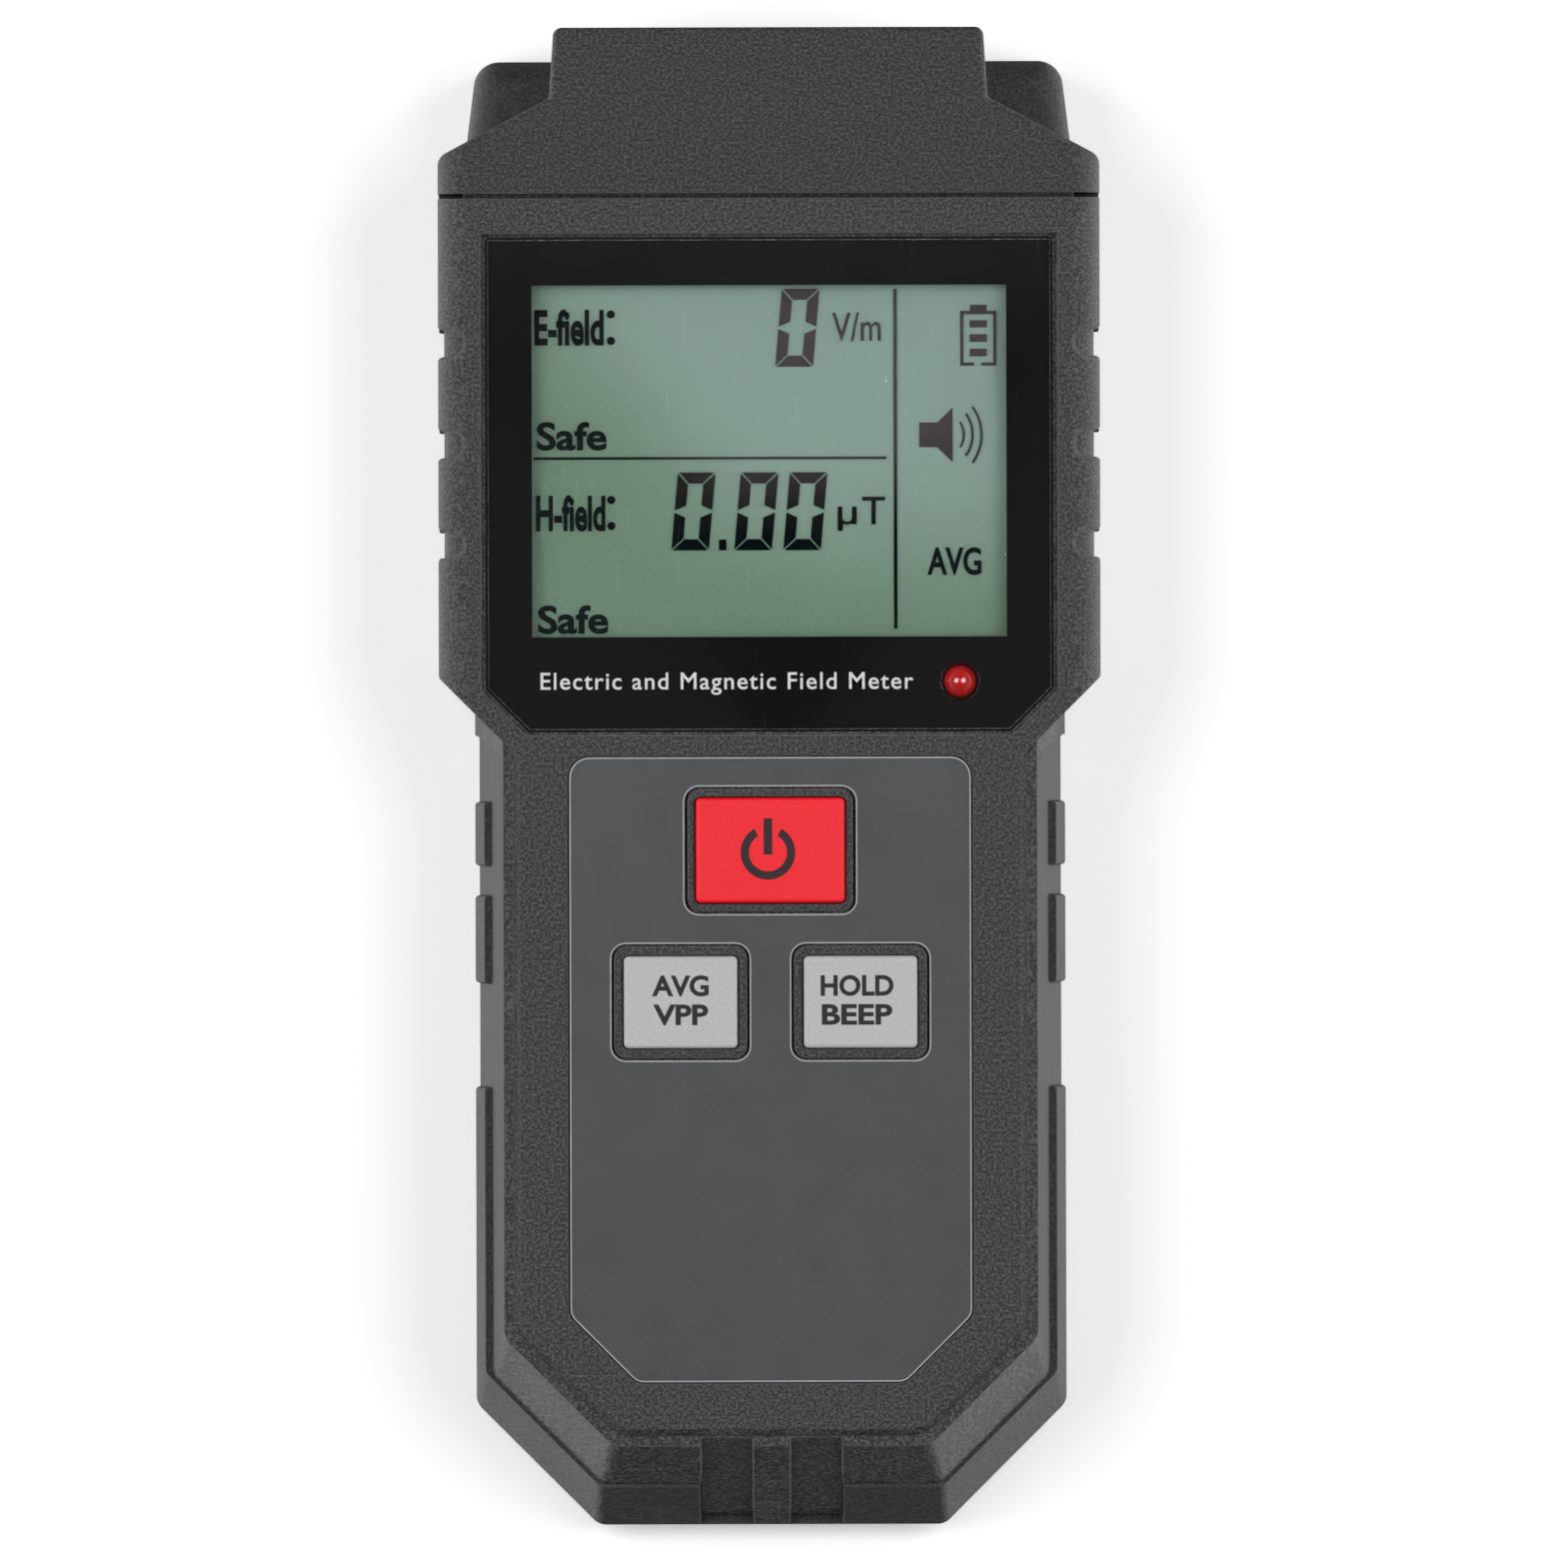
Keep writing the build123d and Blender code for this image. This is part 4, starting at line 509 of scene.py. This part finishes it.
def disc_outline(x, y, radius, count=24):
    return circle(x, y, radius, [2 * math.pi * i / count for i in range(count)])


def arc_outline(x, y, radius, start, end, width, count=16):
    """A band along an arc from start to end, in degrees."""
    turns = [math.radians(start + (end - start) * i / count) for i in range(count + 1)]
    outer, inner = (circle(x, y, radius + side * width, turns) for side in (0.5, -0.5))
    return outer + inner[::-1]


def rounded_outline(corners, inset=0.0, count=6):
    """A convex anticlockwise outline of (x, y, radius) corners, rounded and moved inwards by inset."""
    points = []
    for i, (x, y, radius) in enumerate(corners):
        before, after = corners[i - 1], corners[(i + 1) % len(corners)]
        here = Vector((x, y))
        back = (Vector(before[:2]) - here).normalized()
        ahead = (Vector(after[:2]) - here).normalized()
        half = 0.5 * back.angle(ahead)
        centre = here + (back + ahead).normalized() * radius / math.sin(half)
        start = Vector((-back.y, back.x))
        turn = math.pi - 2 * half
        for k in range(count + 1):
            c, s = math.cos(turn * k / count), math.sin(turn * k / count)
            out = Vector((start.x * c - start.y * s, start.x * s + start.y * c))
            points.append(tuple(centre + out * (radius - inset)))
    return points


def block_corners(x, y, width, height, radius):
    """Corners of a rounded rectangle, anticlockwise."""
    w, h = 0.5 * width, 0.5 * height
    return [(x - w, y - h, radius), (x + w, y - h, radius), (x + w, y + h, radius), (x - w, y + h, radius)]


DIGIT_WIDTH, DIGIT_HEIGHT, DIGIT_SLANT = 3.37, 7.0, 0.62
STROKE, STROKE_GAP, WAIST = 1.0, 0.1, 0.55


def zero_outlines(left, base):
    """The six lit segments of a slanted 0."""
    w, h, t, s = DIGIT_WIDTH, DIGIT_HEIGHT, STROKE, STROKE_GAP
    middle = 0.5 * h
    bottom = [(s, 0.0), (w - s, 0.0), (w - t - s, t), (t + s, t)]
    side = [(0.0, s), (t, t + s), (t, middle - WAIST), (0.0, middle - s)]
    flat = [bottom, side, [(w - x, y) for x, y in side]]
    flat += [[(x, h - y) for x, y in outline] for outline in flat]
    lean = DIGIT_SLANT / DIGIT_HEIGHT
    return [[(left + x + y * lean, base + y) for x, y in outline] for outline in flat]


# Painted highlight lines along the edges of the overlay ------------------------------------

PANEL_CORNERS = [  # x, y and radius
    (-12.04, -54.2, 1.5), (12.04, -54.2, 1.5), (18.04, -48.2, 1.5),
    (18.04, 1.93, 1.8), (-18.04, 1.93, 1.8), (-18.04, -48.2, 1.5),
]
KEY_CUTOUTS = [  # x, y, width and height
    (0.0, -6.44, 15.4, 11.45), (-8.08, -20.07, 12.42, 10.48), (8.08, -20.07, 12.42, 10.48),
]
CUTOUT_ROUND = 1.3
EDGE_LINE = 0.13

panel_lines = [(rounded_outline(PANEL_CORNERS), rounded_outline(PANEL_CORNERS, EDGE_LINE))]
for x, y, width, height in KEY_CUTOUTS:
    outer = block_corners(x, y, width + 2 * EDGE_LINE, height + 2 * EDGE_LINE, CUTOUT_ROUND + EDGE_LINE)
    inner = block_corners(x, y, width, height, CUTOUT_ROUND)
    panel_lines.append((rounded_outline(outer), rounded_outline(inner)))
# A pale band along each cut edge of the overlay: the clear film's edge with a painted highlight.
line_mark("panel_edge_highlights", panel_lines, *layer(FACE_Z, -0.02, 0.004), film_edge_highlight(), "case", "overlay")

# Display --------------------------------------------------------------------------------

COLON_X, COLON_RADIUS = -14.2, 0.37
UPPER_COLON, LOWER_COLON = (41.76, 39.38), (25.08, 22.75)
UPPER_BASE, LOWER_BASE = 37.02, 20.53
SPEAKER_X, SPEAKER_Y = 13.5, 30.87
SPEAKER = [(0.0, -1.11), (1.62, -1.11), (3.0, -2.46), (3.0, 2.46), (1.62, 1.11), (0.0, 1.11)]
WAVES = [  # x of the centre, radius, half of the angle and width of the line
    (15.4, 2.1, 33, 0.2), (15.1, 3.2, 36, 0.22), (14.8, 4.3, 36, 0.22),
]
BATTERY = [  # nub and top of the frame, its sides, its feet and the three bars
    (18.1, 19.6, 41.97, 42.55), (17.2, 20.45, 41.7, 42.0),
    (17.2, 17.48, 37.07, 41.75), (20.17, 20.45, 37.07, 41.75),
    (17.45, 18.45, 37.07, 37.36), (19.1, 20.2, 37.07, 37.36),
    (18.05, 19.6, 40.5, 41.16), (18.05, 19.6, 39.22, 39.9), (18.05, 19.6, 37.92, 38.6),
]

symbols = [
    *zero_outlines(0.57, UPPER_BASE),
    *zero_outlines(-8.82, LOWER_BASE),
    *zero_outlines(-3.16, LOWER_BASE),
    *zero_outlines(1.25, LOWER_BASE),
    box_outline(-4.53, -3.86, LOWER_BASE, 21.5),  # decimal point
    *[disc_outline(COLON_X, y, COLON_RADIUS) for y in UPPER_COLON + LOWER_COLON],
    box_outline(11.2, 11.5, 13.45, 44.0),  # upright rule
    box_outline(-21.2, 10.55, 28.7, 28.93),  # level rule
    [(SPEAKER_X + x, SPEAKER_Y + y) for x, y in SPEAKER],
    *[arc_outline(x, SPEAKER_Y, radius, -half, half, width) for x, radius, half, width in WAVES],
    *[box_outline(*sides) for sides in BATTERY],
]
words = [
    line_of("E-field", -21.05, -14.85, 39.1, 2.95, 0.13),
    line_of("H-field", -20.95, -14.75, 22.4, 2.95, 0.13),
    line_of("Safe", -20.9, -14.6, 29.64, 2.35, 0.09),
    line_of("Safe", -20.8, -14.5, 13.15, 2.35, 0.09),
    line_of("V/m", 5.7, 10.05, 39.35, 2.5, 0.01),
    line_of("µ", 6.15, 7.85, 22.85, 2.4, 0.01),
    line_of("T", 8.35, 10.4, 22.85, 2.45, 0.02),
    line_of("AVG", 14.2, 19.05, 18.35, 2.3, 0.08),
]
glass_film = layer(GLASS_TOP_Z, 0.12, 0.16)
segments = segment_ink()
solid_mark("lcd_symbols", symbols, *glass_film, segments, "case", "mask")
letter_mark("lcd_words", words, *glass_film, segments, "case", "mask")

# Title and legends ----------------------------------------------------------------------

LEGEND_CAPITALS, LEGEND_WEIGHT = 1.7, 0.08
UPPER_LEGEND, LOWER_LEGEND = -19.45, -22.05
POWER_X, POWER_Y = -0.2, -6.63
POWER_RING = (2.08, -240, 60, 0.75, 48)  # radius, start, end, width and number of steps
BAR_HALF_WIDTH, BAR_BELOW, BAR_ABOVE = 0.39, 0.2, 3.06

title = [line_of("Electric and Magnetic Field Meter", -20.6, 12.9, 8.05, 1.48, 0.02, 1.12)]
title_layer = layer(LENS_BOTTOM_Z, 0.01, 0.05)
letter_mark("window_title", title, *title_layer, ink("white_ink", (0.5, 0.5, 0.5)), "case", "label")


def legend(upper, lower):
    """Two lines of text, each given as text, left and right."""
    return [
        line_of(*upper, UPPER_LEGEND, LEGEND_CAPITALS, LEGEND_WEIGHT),
        line_of(*lower, LOWER_LEGEND, LEGEND_CAPITALS, LEGEND_WEIGHT),
    ]


key_layer = layer(KEY_TOP_Z, -0.02, 0.006)
key_ink = ink("key_ink", (0.016, 0.016, 0.018))
mode_lines = legend(("AVG", -10.65, -5.55), ("VPP", -10.55, -5.6))
hold_lines = legend(("HOLD", 4.5, 11.05), ("BEEP", 4.6, 10.95))
letter_mark("mode_legend", mode_lines, *key_layer, key_ink, "mode_key", "mask")
letter_mark("hold_legend", hold_lines, *key_layer, key_ink, "hold_key", "mask")

bar = (POWER_X - BAR_HALF_WIDTH, POWER_X + BAR_HALF_WIDTH, POWER_Y - BAR_BELOW, POWER_Y + BAR_ABOVE)
power_shapes = [arc_outline(POWER_X, POWER_Y, *POWER_RING), box_outline(*bar)]
power_ink = ink("power_ink", (0.03, 0.012, 0.015))
solid_mark("power_symbol", power_shapes, *key_layer, power_ink, "power_key", "mask")


# Floor and lamps ------------------------------------------------------------------------

FLOOR_REACH = 12.0
FLOOR_Z = -0.05 * MM
SIDE_LAMP = {"elevation": 5, "distance": 0.55, "size": (0.6, 0.15), "power": 0.6}
TOP_LAMP = {"elevation": 64, "distance": 0.7, "size": (0.35, 0.35), "power": 2.5}


def floor_material():
    """Pale paper with a glow of its own, which keeps the shadow faint."""
    g = Graph("pale_floor")
    colour = g.mix(g.noise(0.3, 3.0), (0.9, 0.9, 0.9), (0.93, 0.93, 0.93))
    rough = g.vary(g.noise(0.1), 0.75, 0.85)
    return g.finish(colour, rough, Emission_Strength=0.33, Emission_Color=(1.0, 1.0, 1.0))


def softbox(name, azimuth, elevation, distance, size, power):
    """Area light that faces the object. Azimuth 0 is the right-hand side and 90 the nose."""
    data = bpy.data.lights.new(name, "AREA")
    data.shape = "RECTANGLE"
    data.size, data.size_y = size
    data.energy = power
    lamp = bpy.data.objects.new(name, data)
    a, e = math.radians(azimuth), math.radians(elevation)
    away = Vector((math.cos(a) * math.cos(e), math.sin(a) * math.cos(e), math.sin(e)))
    lamp.location = away * distance
    lamp.rotation_mode = "QUATERNION"
    lamp.rotation_quaternion = away.to_track_quat("Z", "Y")
    lamp.visible_camera = False
    bpy.context.scene.collection.objects.link(lamp)


floor_mesh = bpy.data.meshes.new("floor")
floor_outline = box_outline(-FLOOR_REACH, FLOOR_REACH, -FLOOR_REACH, FLOOR_REACH)
floor_corners = [(x, y, FLOOR_Z) for x, y in floor_outline]
floor_mesh.from_pydata(floor_corners, [], [(0, 1, 2, 3)])
floor_mesh.materials.append(floor_material())
floor = bpy.data.objects.new("floor", floor_mesh)
bpy.context.scene.collection.objects.link(floor)
floor.visible_glossy = False

softbox("side_left", 180, **SIDE_LAMP)
softbox("side_right", 0, **SIDE_LAMP)
softbox("top_left", 165, **TOP_LAMP)
softbox("top_right", 15, **TOP_LAMP)

# Surroundings ---------------------------------------------------------------------------
# They are bright to the left and right, dim towards the nose and the bottom end, and dark above.
# The camera sees an even pale backdrop.

BACKDROP = 0.95

world = bpy.data.worlds.new("studio")
bpy.context.scene.world = world
world.use_nodes = True
background = world.node_tree.nodes["Background"]
sky = Nodes(world.node_tree)
direction = sky.parts(sky.node("ShaderNodeTexCoord").outputs["Generated"])
across = sky.times(direction["X"], direction["X"])
along = sky.times(direction["Y"], direction["Y"])
sideways = sky.math("DIVIDE", across, sky.math("ADD", across, along))
side_light = sky.span(sideways, 0.1, 0.5, 0.12, 1.3)
below = sky.span(direction["Z"], -1.0, -0.5, 0.25, 1.8)
above = sky.span(direction["Z"], -0.2, 0.35, 1.0, 0.05)
surround = sky.times(side_light, sky.times(below, above))
seen = sky.node("ShaderNodeLightPath").outputs["Is Camera Ray"]
unseen = sky.math("SUBTRACT", 1.0, seen)
strength = sky.math("ADD", sky.times(seen, BACKDROP), sky.times(surround, unseen))
sky.value(background.inputs["Strength"], strength)
sky.value(background.inputs["Color"], (1.0, 1.0, 1.0))

# Camera ---------------------------------------------------------------------------------

CAMERA_AWAY = 3.0
CLIP_END = 100.0
VIEW_WIDTH = 140.83344 * MM
VIEW_CENTRE = (1.257 * MM, -0.494 * MM)
ROLL = math.radians(-0.15)

camera_data = bpy.data.cameras.new("camera")
camera_data.lens = camera_data.sensor_width * CAMERA_AWAY / VIEW_WIDTH
camera_data.clip_end = CLIP_END
camera = bpy.data.objects.new("camera", camera_data)
camera.location = (*VIEW_CENTRE, FACE_Z + CAMERA_AWAY)
camera.rotation_euler = (0.0, 0.0, ROLL)
bpy.context.scene.collection.objects.link(camera)
bpy.context.scene.camera = camera
bpy.context.scene.view_settings.view_transform = "Standard"
